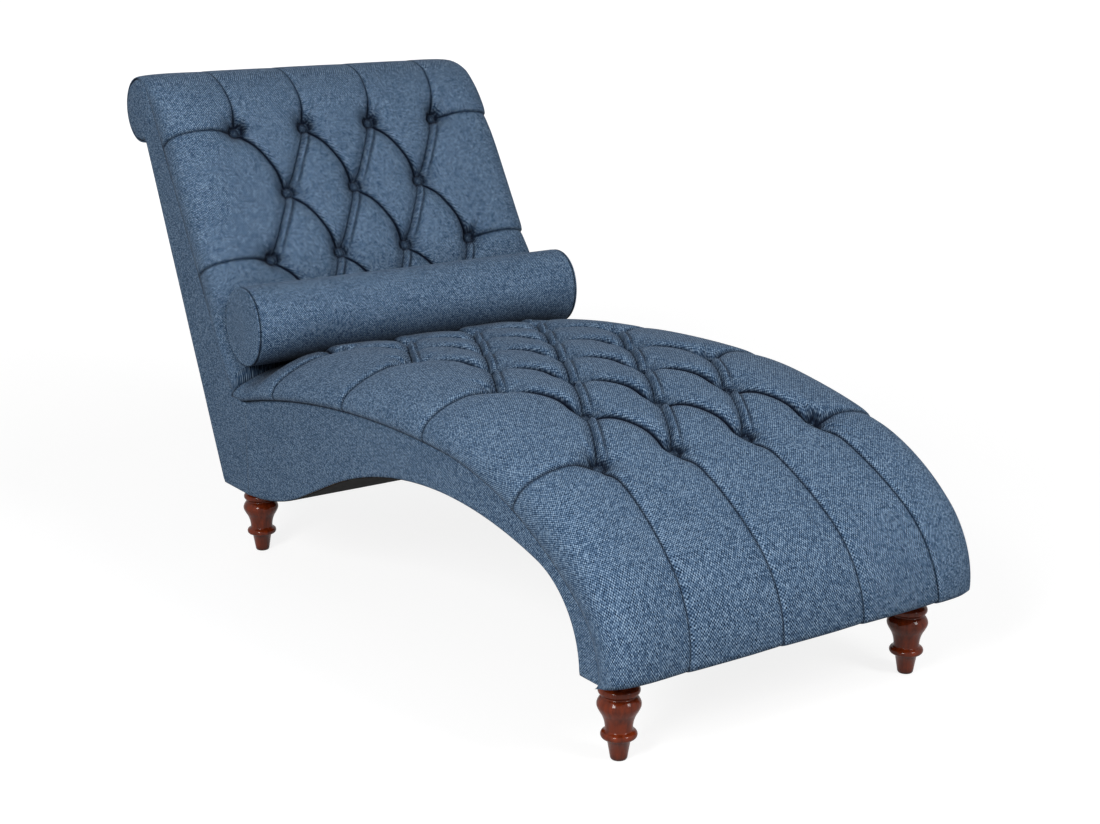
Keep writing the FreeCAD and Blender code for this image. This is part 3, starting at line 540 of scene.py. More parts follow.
def sink(tufting, across, along):
    """Depth below the crest at each place of the cloth, how far it slides aside, and how much painted shade
    it takes.
    """
    spots = np.stack([across, along], -1)
    fullness = np.ones(across.shape)
    base_depth = np.full(across.shape, FREE_DEPTH)
    weight_sum = np.zeros(across.shape)
    slide = np.zeros(spots.shape)
    painted_shade = np.zeros(across.shape)
    ridge = np.zeros(across.shape)
    to_button = np.min([np.linalg.norm(spots - button, axis=-1) for button in tufting.buttons], axis=0)
    for kind, start, end in tufting.pleats:
        depth, lip_width, lip_power, low_width, over, darkness, wanted = PLEAT_FORM[kind]
        length = math.dist(start, end)
        run = np.subtract(end, start) / length
        lip = np.array([-run[1], run[0]])
        lip = lip * (1 if np.dot(lip, wanted) > 0 else -1)
        offset = spots - start
        t = np.clip(offset @ run, 0, length)
        away = np.linalg.norm(offset - t[..., None] * run, axis=-1)
        signed = offset @ lip
        on_lip = signed >= -SAME_SPOT
        fullness = fullness * np.where(on_lip, (1 - np.exp(-away / lip_width)) ** lip_power,
                                       1 - np.exp(-away / low_width))
        share = t / length
        if kind in PLEAT_BOW:
            near = np.sin(math.pi * share) ** 0.5
            bow = PLEAT_BOW[kind] * np.sin(math.pi * share) * bell(away, BOW_REACH)
            slide = slide + bow[..., None] * lip
        else:
            near = np.clip(t / (15 * MM), 0, 1)
            depth = depth * (0.35 + 0.65 * np.exp(-t / RUN_FADE))
        weight = 4 * bell(away, DEPTH_REACH)
        base_depth = base_depth + weight * depth
        weight_sum = weight_sum + weight
        lip_move = np.where(on_lip, over * near * bell(away, LIP_REACH), 0) * (away > SAME_SPOT)
        slide = slide - lip_move[..., None] * lip
        # Painted shade along the pleat's line.
        painted_shade = np.maximum(painted_shade, darkness * bell(away, LINE_HALF))
        if kind == "soft":
            along_rope = np.clip(share * 8, 0, 1) * np.clip((1 - share) * 5, 0, 1) * (away < 40 * MM)
            rope = along_rope * bell(signed + ROPE_AWAY, ROPE_HALF)
            groove = along_rope * bell(signed + GROOVE_AWAY, LINE_HALF)
            ridge = ridge + ROPE_HEIGHT * rope - 2 * MM * groove
            # Painted shade in the thin groove, and less of it on the raised cord.
            painted_shade = np.maximum(painted_shade * (1 - 0.8 * rope), 0.7 * groove)
    base_depth = base_depth / (1 + weight_sum)
    pull = base_depth + (BUTTON_DEPTH - base_depth) * bell(to_button, BUTTON_REACH)
    # Painted shade in a ring round each button's seat.
    painted_shade = np.maximum(painted_shade, 0.8 * bell(to_button - BUTTON_SEAT, 3 * MM))
    seat = np.clip((to_button - BUTTON_SEAT) / (6 * MM), 0, 1)
    fullness = fullness * (0.15 + 0.85 * seat ** 0.7)
    return pull * (1 - fullness) - ridge * (1 - 0.5 * fullness), slide, painted_shade


# %% [markdown]
# The sheet of points. Its steps divide the distance between two buttons evenly both ways, so the
# slanting pleats run exactly through corners of the grid, and each square is cut along the diagonal
# that a pleat would follow. The sheet ends under the pad, which closes it into a solid cushion.

# %% Build a pad's mesh
def grid_lines(tufting, start, end):
    """Distances across and along at the grid's lines, and how many come before the first button."""
    half, step = tufting.pitch / 2, tufting.row_pitch / GRID
    columns = int(round(CLOTH_HALF / (half / GRID)))
    inner = np.arange(4 * GRID + 1) * half / GRID
    outer = np.linspace(inner[-1], CLOTH_HALF, columns - 4 * GRID + 1)[1:]
    right = np.concatenate([inner, outer])
    across = np.concatenate([-right[:0:-1], right])
    first, last = tufting.rows[0], tufting.rows[-1]
    before = np.linspace(start, first, int(round((first - start) / step)) + 1)[:-1]
    between = first + np.arange((len(tufting.rows) - 1) * GRID + 1) * step
    after = np.linspace(last, end, int(round((end - last) / step)) + 1)[1:]
    return across, np.concatenate([before, between, after]), len(before)


def sheet_faces(tufting, corners, first_line):
    """Triangles over a grid of corners, cut along the pleats' diagonals, and the closing underside."""
    rows, columns = corners.shape
    a, b, c, d = corners[:-1, :-1], corners[:-1, 1:], corners[1:, 1:], corners[1:, :-1]
    row_index = (np.arange(rows - 1)[:, None] - first_line) // GRID
    column_index = (np.arange(columns - 1)[None, :] - (columns - 1) // 2) // GRID
    shift = 1 if tufting.kinds[0] == "four" else 0
    rising = ((row_index + column_index + shift) % 2 == 0)[..., None]
    first = np.where(rising, np.stack([a, b, c], -1), np.stack([a, b, d], -1)).reshape(-1, 3)
    second = np.where(rising, np.stack([a, c, d], -1), np.stack([b, c, d], -1)).reshape(-1, 3)
    faces = [tuple(face) for face in np.concatenate([first, second]).tolist()]
    left, right = corners[:, 0], corners[:, -1]
    faces += quads(left[1:], right[1:], right[:-1], left[:-1])
    return faces + [tuple(corners[0, ::-1].tolist()), tuple(corners[-1, :].tolist())]


def pad_mesh(name, tufting, form):
    start, end = form.start, form.end
    across_lines, along_lines, first_line = grid_lines(tufting, start, end)
    along, across = np.meshgrid(along_lines, across_lines, indexing="ij")
    depth, slide, painted_shade = sink(tufting, across, along)
    # Painted shade along the pad's side seam.
    painted_shade = np.maximum(painted_shade, 0.9 * bell(CLOTH_HALF - np.abs(across), form.seam_shade))
    at_sides = np.clip((CLOTH_HALF - np.abs(across)) / (30 * MM), 0, 1)
    at_ends = np.clip(np.minimum(along - start, end - along) / (25 * MM), 0, 1)
    slide = slide * (at_sides * at_ends)[..., None]
    moved_across = np.clip(across + slide[..., 0] + form.drift(across, along), -CLOTH_HALF, CLOTH_HALF)
    moved_along = np.clip(along + slide[..., 1], start, end)
    top, height = crest(form, moved_across, moved_along)
    normal = np.cross(np.gradient(top, axis=1), np.gradient(top, axis=0))
    normal /= np.linalg.norm(normal, axis=-1)[..., None]
    depth = depth * np.clip(height / PAD_DEPTH, 0.15, 1) * np.clip(at_sides * 1.5, 0, 1)
    reach = np.clip(np.minimum(along - start, end - along) / form.end_round, 0, 1)
    ends = quarter_circle(reach)
    ground = SimpleNamespace(**vars(form))
    ground.height_at = lambda along, place, angle: 0.1 * MM + 0 * along
    floor, _ = crest(ground, moved_across * 0.97, moved_along)
    points = floor + (top - normal * depth[..., None] - floor) * ends[..., None]
    corners = np.arange(across.size).reshape(across.shape)
    flat = np.stack([across.ravel(), along.ravel()], -1)
    faces = sheet_faces(tufting, corners, first_line)
    return make_piece(name, points.reshape(-1, 3), faces, flat, cloth, painted_shade), points, normal


# %% [markdown]
# The seat. It starts low at the foot's bottom edge, grows to full depth at the first buttons, and
# leans over to the mitre where it meets the back. At the foot its pleats drift to one side, as hand
# work does. Its sides are square at the toe, roll wide over the arch and wider still towards the back.

# %% Seat pad
mitre_length = deck.length + corner_length / 2
SEAT_TUFTS = Tufting(288 * MM, 119.3 * MM, 7, 131 * MM, ("four", "three"), 0.0, mitre_length)
PADS_APART = 0.2 * MM
seat_end = mitre_length - PADS_APART
FOOT_DRIFT_FROM = np.array([-400, -330, -196.5, -65.5, 65.5, 196.5, 300, 400]) * MM
FOOT_DRIFT = np.array([0, 0, -12, 21, 38, 50, 0, 0]) * MM


def seat_route(along):
    on_deck, heading = deck.at(along)
    round_corner, turned_to = back.at(along - deck.length)
    past = along > deck.length
    return np.where(past[..., None], round_corner, on_deck), np.where(past, turned_to, heading)


def toe_share(along):
    """0 at the foot's edge, 1 from the first row of buttons on."""
    return share_between(along, 0, SEAT_TUFTS.rows[0])


def smooth_step(along, start, end):
    share = share_between(along, start, end)
    return share * share * (3 - 2 * share)


seat_form = SimpleNamespace(
    route_at=seat_route,
    height_at=lambda along, place, angle: (
        TOE_DEPTH + (PAD_DEPTH - TOE_DEPTH) * np.sin(UP * toe_share(along)) ** 0.72 - GAP),
    turn_at=lambda along: (along - SEAT_TUFTS.rows[-1]) / (seat_end - SEAT_TUFTS.rows[-1]),
    drift=lambda across, along: (
        np.interp(across, FOOT_DRIFT_FROM, FOOT_DRIFT) * (1 - toe_share(along)) ** 1.3),
    wide_at=lambda along: (
        smooth_step(along, 130 * MM, 420 * MM) + 0.3 * smooth_step(along, 500 * MM, 850 * MM)),
    width_at=lambda along: 1.0 + 0 * along,
    start=0.0, end=seat_end, end_round=10 * MM, seam_shade=3 * MM)
seat_pad, seat_points, seat_normals = pad_mesh("seat_upholstery", SEAT_TUFTS, seat_form)
dress(seat_pad, "seat_pad")

# %% [markdown]
# The back. Its crest leaves the crease, runs straight up past four rows of buttons, then follows a
# wide brow into the scroll and round to where the outside back takes over. Where it wraps the scroll,
# it narrows to the frame and its pleats drift aside.

# %% Back pad
scroll_at = corner_length + back_line
ROW_TO_SCROLL = 103 * MM
BACK_ROW_PITCH = 122 * MM
BACK_TUFTS = Tufting(scroll_at - ROW_TO_SCROLL - 3 * BACK_ROW_PITCH, BACK_ROW_PITCH, 4, 135 * MM,
                     ("three", "four"), corner_length / 2, back.length)
back_start = corner_length / 2 + PADS_APART
back_end = back.length - 2.6 * MM
brow_rise = PAD_DEPTH + CORE_RADIUS - BROW_RADIUS
brow_back = math.sqrt((BROW_RADIUS - WRAP_RADIUS) ** 2 - brow_rise ** 2)
brow_centre = SCROLL_CENTRE + brow_rise * direction(BACK_LEAN + UP) - brow_back * direction(BACK_LEAN)
brow_touch = math.atan2(*(SCROLL_CENTRE - brow_centre)[::-1])
brow_end = scroll_at + (BACK_LEAN + UP - brow_touch) * CORE_RADIUS
HEAD_DRIFT_FROM = np.array([-400, -330, -202.5, -67.5, 67.5, 202.5, 330, 400]) * MM
HEAD_DRIFT = np.array([0, 0, 0, 10, 29, 38, 0, 0]) * MM
SCROLL_HALF = 321 * MM


def back_height(along, place, angle):
    brow = ray_to_circle(place, angle, brow_centre, BROW_RADIUS, far=True)
    wrapped = np.where(along < brow_end, np.minimum(brow, PAD_DEPTH), WRAP_RADIUS - CORE_RADIUS)
    return np.where(along < scroll_at - brow_back, PAD_DEPTH, wrapped) - GAP


back_form = SimpleNamespace(
    route_at=back.at, height_at=back_height,
    turn_at=lambda along: (BACK_TUFTS.rows[0] - along) / (BACK_TUFTS.rows[0] - back_start),
    drift=lambda across, along: (np.interp(across, HEAD_DRIFT_FROM, HEAD_DRIFT)
                                 * share_between(along, BACK_TUFTS.rows[-1], brow_end) ** 1.3),
    wide_at=lambda along: 0.0 * along,
    width_at=lambda along: 1 - share_between(along, scroll_at, brow_end) * (1 - SCROLL_HALF / SIDE_HALF),
    start=back_start, end=back_end, end_round=6 * MM, seam_shade=11 * MM)
back_pad, back_points, back_normals = pad_mesh("back_upholstery", BACK_TUFTS, back_form)
dress(back_pad, "back_pad")

# %% [markdown]
# The flat sides. A panel is cut to the outline of its wooden side, drawn with the same routes. Its
# points are spread over the outline, and its edges roll inward by a few millimetres, because a sewn
# panel is pulled round its board and meets the next one in a narrow seam, darkened by painted shade.

# %% Outlines of the side panels
PANEL_STEP = 6 * MM
EDGE_ROLL = 4 * MM
PANEL_FACE = 2 * MM
FRAME_HALF = 318 * MM
ARCH_START = np.array([-666.4 * MM, LEG_HEIGHT])
KNEE = degrees_arc(137 * MM, 74)
SPAN = degrees_arc(858 * MM, 40)
HEEL_RADIUS = 558 * MM
HEEL_DROP = math.radians(74 + 40 - 90)
HEEL_SWEEP = math.radians(21)
HEEL_LIFT = 1 * MM
heel_height = HEEL_RADIUS * (math.cos(HEEL_DROP - HEEL_SWEEP) - math.cos(HEEL_DROP))
span_end = Route(ARCH_START, UP, [KNEE, SPAN]).end
arch_straight = (span_end[1] - heel_height - LEG_HEIGHT - HEEL_LIFT) / math.sin(HEEL_DROP)
arch = Route(ARCH_START, UP, [KNEE, SPAN, (arch_straight, 0.0), (HEEL_RADIUS * HEEL_SWEEP, -HEEL_RADIUS)])


def along_route(route, start, end):
    return route.at(np.linspace(start, end, max(2, int((end - start) / PANEL_STEP))))[0]


def straight_run(first, last):
    return np.linspace(first, last, max(2, int(math.dist(first, last) / PANEL_STEP)))


def closed_ring(*runs):
    """One closed ring from runs that follow each other, without doubled corners."""
    points = np.concatenate(runs)
    return points[np.linalg.norm(points - np.roll(points, 1, axis=0), axis=1) > 0.5 * MM]


joint_slope = (deck.end[0] - arch.end[0]) / (deck.end[1] - arch.end[1])
joint_foot = np.array([arch.end[0] - HEEL_LIFT * joint_slope, LEG_HEIGHT])
joint_line = np.array([deck.end, joint_foot])
back_edge = along_route(back, 0, back.length)
seat_ring = closed_ring(
    along_route(deck, 0, deck.length), straight_run(deck.end, arch.end),
    along_route(arch, 0, arch.length)[::-1], straight_run(arch.at(0.0)[0], deck.at(0.0)[0]))
back_ring = closed_ring(
    back_edge, straight_run(back_edge[-1], REAR_FOOT), straight_run(REAR_FOOT, joint_foot),
    straight_run(joint_foot, deck.end))
back_edge = np.concatenate([back_edge, back_edge[-2::-1]])
print("seat outline", len(seat_ring), "points, back outline", len(back_ring), "points")

# %% [markdown]
# A panel's net is a triangulation of its outline, of three hems inside it and of a grid. The distance
# from an outline or a seam decides where its edges roll, where it is padded and where it takes painted shade.

# %% Side panels
HEMS = (0.15 * EDGE_ROLL, 0.5 * EDGE_ROLL, EDGE_ROLL)
# Turns of the painted shade lines for the folds on the scroll's end, in degrees.
SCROLL_FOLDS = (200, 250, 300, 10, 60)


def walls(faces, shift):
    """Faces that join the open edges of a set of faces to their copies, shift corners further on."""
    edges = {(a, b) for face in faces for a, b in zip(face, face[1:] + face[:1])}
    return [(b, a, a + shift, b + shift) for a, b in edges if (b, a) not in edges]


def thin_shell(outer, inner, faces):
    """Points and faces of a closed shell between two copies of the same net."""
    count = len(outer)
    backs = [tuple(index + count for index in face[::-1]) for face in faces]
    return np.concatenate([outer, inner]), faces + backs + walls(faces, count)


def ring_distance(points, ring):
    """Distance to a closed ring, or to an open line given there and back."""
    run = np.roll(ring, -1, axis=0) - ring
    gap = points[:, None] - ring[None]
    share = np.clip((gap * run).sum(-1) / (run * run).sum(-1), 0, 1)
    return np.linalg.norm(gap - share[..., None] * run, axis=-1).min(1)


def inside_ring(points, ring):
    last = np.roll(ring, -1, axis=0)
    straddles = (ring[:, 1] > points[:, None, 1]) != (last[:, 1] > points[:, None, 1])
    rise = np.where(last[:, 1] == ring[:, 1], 1.0, last[:, 1] - ring[:, 1])
    cut = ring[:, 0] + (points[:, None, 1] - ring[:, 1]) / rise * (last[:, 0] - ring[:, 0])
    return (straddles & (points[:, None, 0] < cut)).sum(1) % 2 == 1


def ring_net(ring):
    """Flat points and triangles that fill a ring."""
    low, high = ring.min(0), ring.max(0)
    spread = [np.arange(low[axis], high[axis], PANEL_STEP) for axis in (0, 1)]
    grid = np.stack(np.meshgrid(*spread, indexing="ij"), -1).reshape(-1, 2)
    grid = grid[inside_ring(grid, ring)]
    grid = grid[ring_distance(grid, ring) > EDGE_ROLL + 0.6 * PANEL_STEP]
    run = np.roll(ring, -1, axis=0) - np.roll(ring, 1, axis=0)
    aside = np.stack([run[:, 1], -run[:, 0]], -1) / np.linalg.norm(run, axis=1)[:, None]
    spots = [ring]
    for inset in HEMS:
        hem = ring + aside * inset
        spots.append(hem[inside_ring(hem, ring) & (ring_distance(hem, ring) > 0.95 * inset)])
    spots = np.concatenate([*spots, grid]).tolist()
    count = len(ring)
    edges = [(index, (index + 1) % count) for index in range(count)]
    found = delaunay_2d_cdt([Vector(spot) for spot in spots], edges, [list(range(count))], 1, SAME_SPOT)
    return np.array([tuple(spot) for spot in found[0]]), [tuple(face) for face in found[2]]


def flat_panel(name, ring, side, puff, shade):
    """A thin closed panel on the frame's side. puff adds softness and shade gives the painted shade at places
    of it.
    """
    flat, faces = ring_net(ring)
    near = np.clip(ring_distance(flat, ring) / EDGE_ROLL, 0, 1)
    lift = PANEL_FACE * quarter_circle(near) + puff(flat, near)
    outer = np.column_stack([side * (FRAME_HALF + GAP + lift), flat])
    inner = np.column_stack([np.full(len(flat), side * (FRAME_HALF + 0.4 * GAP)), flat])
    turn = np.cross(flat[faces[0][1]] - flat[faces[0][0]], flat[faces[0][2]] - flat[faces[0][0]])
    if turn * side < 0:
        faces = [face[::-1] for face in faces]
    points, faces = thin_shell(outer, inner, faces)
    return make_piece(name, points, faces, np.tile(flat, (2, 1)), cloth, np.tile(shade(flat), 2))


def seat_puff(flat, near):
    """Slight slack where the cloth is pulled round the arch, and a proud edge at the back's panel."""
    waves = np.sin(flat[:, 0] * 41 + 1.3) * np.sin(flat[:, 1] * 33 + 0.4)
    at_joint = bell(ring_distance(flat, joint_line), 60 * MM)
    return near * (0.5 * MM + 0.35 * MM * waves + 4 * MM * at_joint)


def back_puff(flat, near):
    """The scroll's end is padded into a soft bun, and short folds run round it."""
    spoke = flat - SCROLL_CENTRE
    from_scroll = np.linalg.norm(spoke, axis=1)
    bun = np.sqrt(np.clip(1 - (from_scroll / CORE_RADIUS) ** 2, 0, 1))
    ring_share = bell(from_scroll - 0.8 * CORE_RADIUS, 14 * MM)
    gathers = 0.8 * MM * np.sin(np.arctan2(spoke[:, 1], spoke[:, 0]) * 9 + 0.6) * ring_share
    waves = np.sin(flat[:, 0] * 37 + 0.2) * np.sin(flat[:, 1] * 21 + 1.1)
    return near * (5 * MM * bun + 0.4 * MM * waves + 0.5 * MM + gathers)


def seat_shade(flat):
    """Painted shade: a fine dark line at the seam with the back's panel."""
    return 0.8 * bell(ring_distance(flat, joint_line), 1.6 * MM)


def back_shade(flat):
    """Painted shade: the shadow behind the seat panel's proud edge, and dark lines at the seam beside the pad
    and at the scroll's folds.
    """
    # A known fault: back_edge ends where it starts, so its distance is no number at any place, and none
    # of these shades shows. It is left, because mending it changes the look of the back's panels.
    shades = [0.75 * np.exp(-ring_distance(flat, joint_line) / (9 * MM)),
              0.85 * bell(ring_distance(flat, back_edge), 2.6 * MM)]
    for turn in SCROLL_FOLDS:
        tip = SCROLL_CENTRE + CORE_RADIUS * direction(math.radians(turn))
        fold = np.array([tip, SCROLL_CENTRE + 0.35 * (tip - SCROLL_CENTRE)])
        shades.append(0.6 * bell(ring_distance(flat, fold), 2 * MM))
    return np.max(shades, axis=0)


for side_name, side in (("left", -1), ("right", 1)):
    for part, ring, puff, shade, lean in (
            ("seat", seat_ring, seat_puff, seat_shade, 0.0),
            ("back", back_ring, back_puff, back_shade, REAR_LEAN)):
        panel = flat_panel("%s_side_panel_%s" % (part, side_name), ring, side, puff, shade)
        dress(panel, "%s_side_cover_%s" % (part, side_name))

# %% [markdown]
# The outside back and the dust cloth are strips along a route. Both are thin shells with rolled
# edges: the first is the same cloth pulled over the posts, the second a black spun lining stapled
# under the frame.

# %% Outside back and dust cloth
STRIP_STEP = 10 * MM
HEM_STEPS = np.array([0.2, 0.7, 1.8, 4.0]) * MM


def hemmed(lines):
    """A net's lines with more of them near both ends, where the edge rolls over."""
    first, last = lines[0] + HEM_STEPS, lines[-1] - HEM_STEPS[::-1]
    return np.concatenate([lines[:1], first, lines[1:-1], last, lines[-1:]])


def strip_panel(name, route, half, thickness, material):
    """A thin strip along a route, on its right side."""
    across_lines = hemmed(np.linspace(-half, half, 2 * int(half / STRIP_STEP) + 1))
    along_lines = hemmed(np.linspace(0, route.length, int(route.length / STRIP_STEP) + 2))
    along, across = np.meshgrid(along_lines, across_lines, indexing="ij")
    to_edge = np.minimum(np.minimum(along, route.length - along), half - np.abs(across))
    place, heading = route.at(along)
    normal = direction(heading - UP)
    waves = 0.15 * np.sin(across * 31 + 0.7) * np.sin(along * 23 + 0.3)
    rolled = quarter_circle(np.clip(to_edge / EDGE_ROLL, 0, 1))
    lift = GAP + thickness * (0.35 + 0.65 * rolled * (0.85 + waves))
    outer, inner = (np.concatenate([across[..., None], place + rise[..., None] * normal], -1).reshape(-1, 3)
                    for rise in (lift, np.full(along.shape, 0.5 * GAP)))
    index = np.arange(along.size).reshape(along.shape)
    net = quads(index[1:, :-1], index[1:, 1:], index[:-1, 1:], index[:-1, :-1])
    points, faces = thin_shell(outer, inner, net)
    flat = np.stack([across.ravel(), along.ravel()], -1)
    return make_piece(name, points, faces, np.tile(flat, (2, 1)), material)


def patterned(name, pattern, dark, pale, strength, distance, **sockets):
    """A material between two screen colours. pattern gives its tone, roughness and height."""
    material, paint, shader = new_material(name)
    tone, roughness, height = pattern(paint)
    colour = paint.mix(tone.clamped(), from_screen(*dark), from_screen(*pale))
    feed(paint, shader, Base_Color=colour, Roughness=roughness, Normal=paint.bump(height, strength, distance),
         **sockets)
    return material


def spun_lining(paint):
    """A faint dimple pattern in matted threads."""
    place = paint.cloth_place()
    dimples = paint.node("ShaderNodeTexVoronoi", {"feature": "F1"}, place, Scale=420.0)
    threads = paint.noise(place, 260.0, 4.0)
    return threads * 0.8 + dimples * 0.5, threads * 0.2 + 0.7, dimples + threads


dust_cloth = patterned("black_dust_cloth", spun_lining, (10, 10, 11), (30, 29, 28), 0.3, 0.0004,
                       Specular_IOR_Level=0.03)
rear_route = Route(REAR_FOOT, REAR_LEAN, [(float(rear_line), 0.0)])
for name, node, slot, route, half, thickness, material, supports in (
        ("rear_panel", "rear_cover", "side_fabric", rear_route, FRAME_HALF, 2.2 * MM, cloth,
         ["back_post_left", "back_post_right"]),
        ("dust_panel", "dust_cover", "dust_cloth", arch, FRAME_HALF - 1 * MM, 1.2 * MM, dust_cloth,
         ["seat_rail_left", "seat_rail_right"])):
    panel = strip_panel(name, route, half, thickness, material)
    dress(panel, node)

# %% [markdown]
# The loose bolster. Its barrel and its two end panels are turned from outlines. The ends are squeezed
# a little at the front, where the cloth's gathered seam pulls them in, and each seam is a rolled rim
# with a line of painted shade beside it.

# %% Bolster
BOLSTER_SEAM = 317.5 * MM
SEAM_SHADE = 1.9 * MM
BOLSTER_TURNS = 128


def revolved(corners, turns):
    """A net turned about an axis from an outline whose first and last corners lie on it.

    Gives each point's corner in the outline, its turn, and the faces. The two ends' points come last.
    """
    angles = np.linspace(0, 2 * math.pi, turns, endpoint=False)
    corner, turn = np.meshgrid(np.arange(1, corners - 1), angles, indexing="ij")
    index = np.arange(corner.size).reshape(corner.shape)
    beside = np.roll(index, -1, axis=1)
    first, last = corner.size, corner.size + 1
    faces = quads(index[:-1], beside[:-1], beside[1:], index[1:])
    faces += [(first, b, a) for a, b in zip(index[0].tolist(), beside[0].tolist())]
    faces += [(last, a, b) for a, b in zip(index[-1].tolist(), beside[-1].tolist())]
    return np.append(corner, [0, corners - 1]), np.append(turn, [0, 0]), faces


def squeezed(x, y, z):
    """The ends are drawn in at the front, and shallow slack ripples run round the barrel."""
    near_end = share_between(np.abs(x), 0.8 * BOLSTER_SEAM, BOLSTER_SEAM) ** 2
    front = np.clip(-y / BOLSTER_RADIUS, 0, 1)
    ripple = 0.5 * MM * np.sin(x * 24 + 0.6) * np.sin(np.arctan2(z, y) * 3 + x * 7)
    share = 1 + ripple / np.maximum(np.hypot(y, z), 0.02) * (1 - near_end)
    return y * share * (1 - 0.1 * near_end * front), z * share


def bolster_piece(name, outline):
    """A piece turned about the bolster's middle line from (x, radius) corners, with painted shade at the
    seam.
    """
    outline = np.array(outline)
    corner, turn, faces = revolved(len(outline), BOLSTER_TURNS)
    x, radius = outline[corner].T
    y, z = squeezed(x, radius * np.cos(turn), radius * np.sin(turn))
    length = np.append(0, np.cumsum(np.linalg.norm(np.diff(outline, axis=0), axis=1)))
    # Painted shade in a thin line beside the seam.
    painted_shade = 0.9 * bell(np.hypot(np.abs(x) - BOLSTER_SEAM, radius - BOLSTER_RADIUS), SEAM_SHADE)
    points = np.column_stack([x, y + BOLSTER_CENTRE[0], z + BOLSTER_CENTRE[1]])
    flat = np.column_stack([length[corner], turn * BOLSTER_RADIUS])
    return make_piece(name, points, faces, flat, cloth, painted_shade)


# How far each corner of the barrel's rim lies inside the seam, and its radius, in millimetres.
RIM_OUTLINE = ((0, 0), (0, 40), (0, 63.6), (0.4, 65.4), (1.4, 66.4), (3, 66.75))
rim = [(BOLSTER_SEAM - inside * MM, radius * MM) for inside, radius in RIM_OUTLINE]
barrel_x = np.linspace(-BOLSTER_SEAM + 5 * MM, BOLSTER_SEAM - 5 * MM, 120)
barrel = [(x, BOLSTER_RADIUS - 0.2 * MM) for x in barrel_x]
bolster = bolster_piece("bolster_barrel", [(-x, radius) for x, radius in rim] + barrel + rim[::-1])
dress(bolster, "bolster")

# How far each corner of an end panel lies outside the seam, and its radius, in millimetres.
CAP_OUTLINE = (
    (0.3, 0), (0.3, 40), (0.3, 63.4), (0.7, 65.2), (1.6, 66.3), (2.8, 66.3), (3.9, 65.2), (4.3, 63.2),
    (4.0, 61), (3.9, 58), (4.2, 54), (4.8, 46), (5.4, 36), (5.9, 24), (6.2, 12), (6.3, 0))
for side_name, side in (("left", -1), ("right", 1)):
    outline = [(side * (BOLSTER_SEAM + outside * MM), radius * MM) for outside, radius in CAP_OUTLINE[::side]]
    cap = bolster_piece("bolster_cap_" + side_name, outline)
    dress(cap, "bolster_end_" + side_name)

# %% [markdown]
# Covered buttons. One button is turned as a template: a shallow dome of cloth drawn in under its rim.
# A Geometry Nodes tree then sets a copy on each place, turned to face the way that the cloth does
# there, and spun at random so that no two weaves line up.

# %% Buttons by Geometry Nodes
BUTTON_RADIUS = 10 * MM
BUTTON_TURNS = 40
BUTTON_GATHERS = 10
# Share of painted shade over the whole of each button.
BUTTON_SHADE = 0.5
BUTTON_SUNK = 1 * MM
BUTTON_SPIN_SEED = 11
# Shares of the button's radius and heights in millimetres, from its underside to its top.
BUTTON_PROFILE = np.array([
    (0.0, -1.2), (0.9, -1.2), (0.98, -0.4), (1.0, 0.9), (0.97, 2.2), (0.88, 3.7), (0.72, 4.9), (0.5, 5.7),
    (0.25, 6.1), (0.0, 6.2)])


def button_template():
    corner, turn, faces = revolved(len(BUTTON_PROFILE), BUTTON_TURNS)
    share, rise = BUTTON_PROFILE[corner].T
    radius = BUTTON_RADIUS * share * (1 + 0.02 * share * np.sin(turn * BUTTON_GATHERS))
    points = np.column_stack([radius * np.cos(turn), radius * np.sin(turn), rise * MM])
    # Painted shade over the whole button.
    shade = np.full(len(points), BUTTON_SHADE)
    return make_piece("button_template", points, faces, points[:, :2], button_cloth, shade)


def button_tree():
    """Copies of an object on points, each facing along the points' attribute named facing."""
    tree = bpy.data.node_groups.new("set_buttons", "GeometryNodeTree")
    sockets = {}
    for name, kind in (("Places", "NodeSocketGeometry"), ("Button", "NodeSocketObject"),
                       ("Cloth", "NodeSocketMaterial"), ("Seed", "NodeSocketInt")):
        sockets[name] = tree.interface.new_socket(name=name, in_out="INPUT", socket_type=kind).identifier
    tree.interface.new_socket(name="Buttons", in_out="OUTPUT", socket_type="NodeSocketGeometry")
    paint = Paint(tree)
    given = tree.nodes.new("NodeGroupInput")
    places, button, cloth_in, seed = (Shade(tree, given.outputs[name]) for name in sockets)
    facing = paint.node("GeometryNodeInputNamedAttribute", {"data_type": "FLOAT_VECTOR"}, "facing")
    upright = paint.node("FunctionNodeAlignRotationToVector", {"axis": "Z"}, Vector=facing)
    spin = paint.node("FunctionNodeRandomValue", {"data_type": "FLOAT"}, output="Value", Seed=seed)
    turned_by = paint.node("FunctionNodeAxisAngleToRotation", {}, Axis=(0, 0, 1), Angle=spin * (2 * math.pi))
    pose = paint.node("FunctionNodeRotateRotation", {"rotation_space": "LOCAL"}, upright, turned_by)
    shape = paint.node("GeometryNodeObjectInfo", {}, output="Geometry", Object=button)
    copies = paint.node("GeometryNodeInstanceOnPoints", {}, Points=places, Instance=shape, Rotation=pose)
    solid = paint.node("GeometryNodeRealizeInstances", {}, copies)
    finished = paint.node("GeometryNodeSetMaterial", {}, Geometry=solid, Material=cloth_in)
    tree.links.new(finished.socket, tree.nodes.new("NodeGroupOutput").inputs[0])
    return tree, sockets


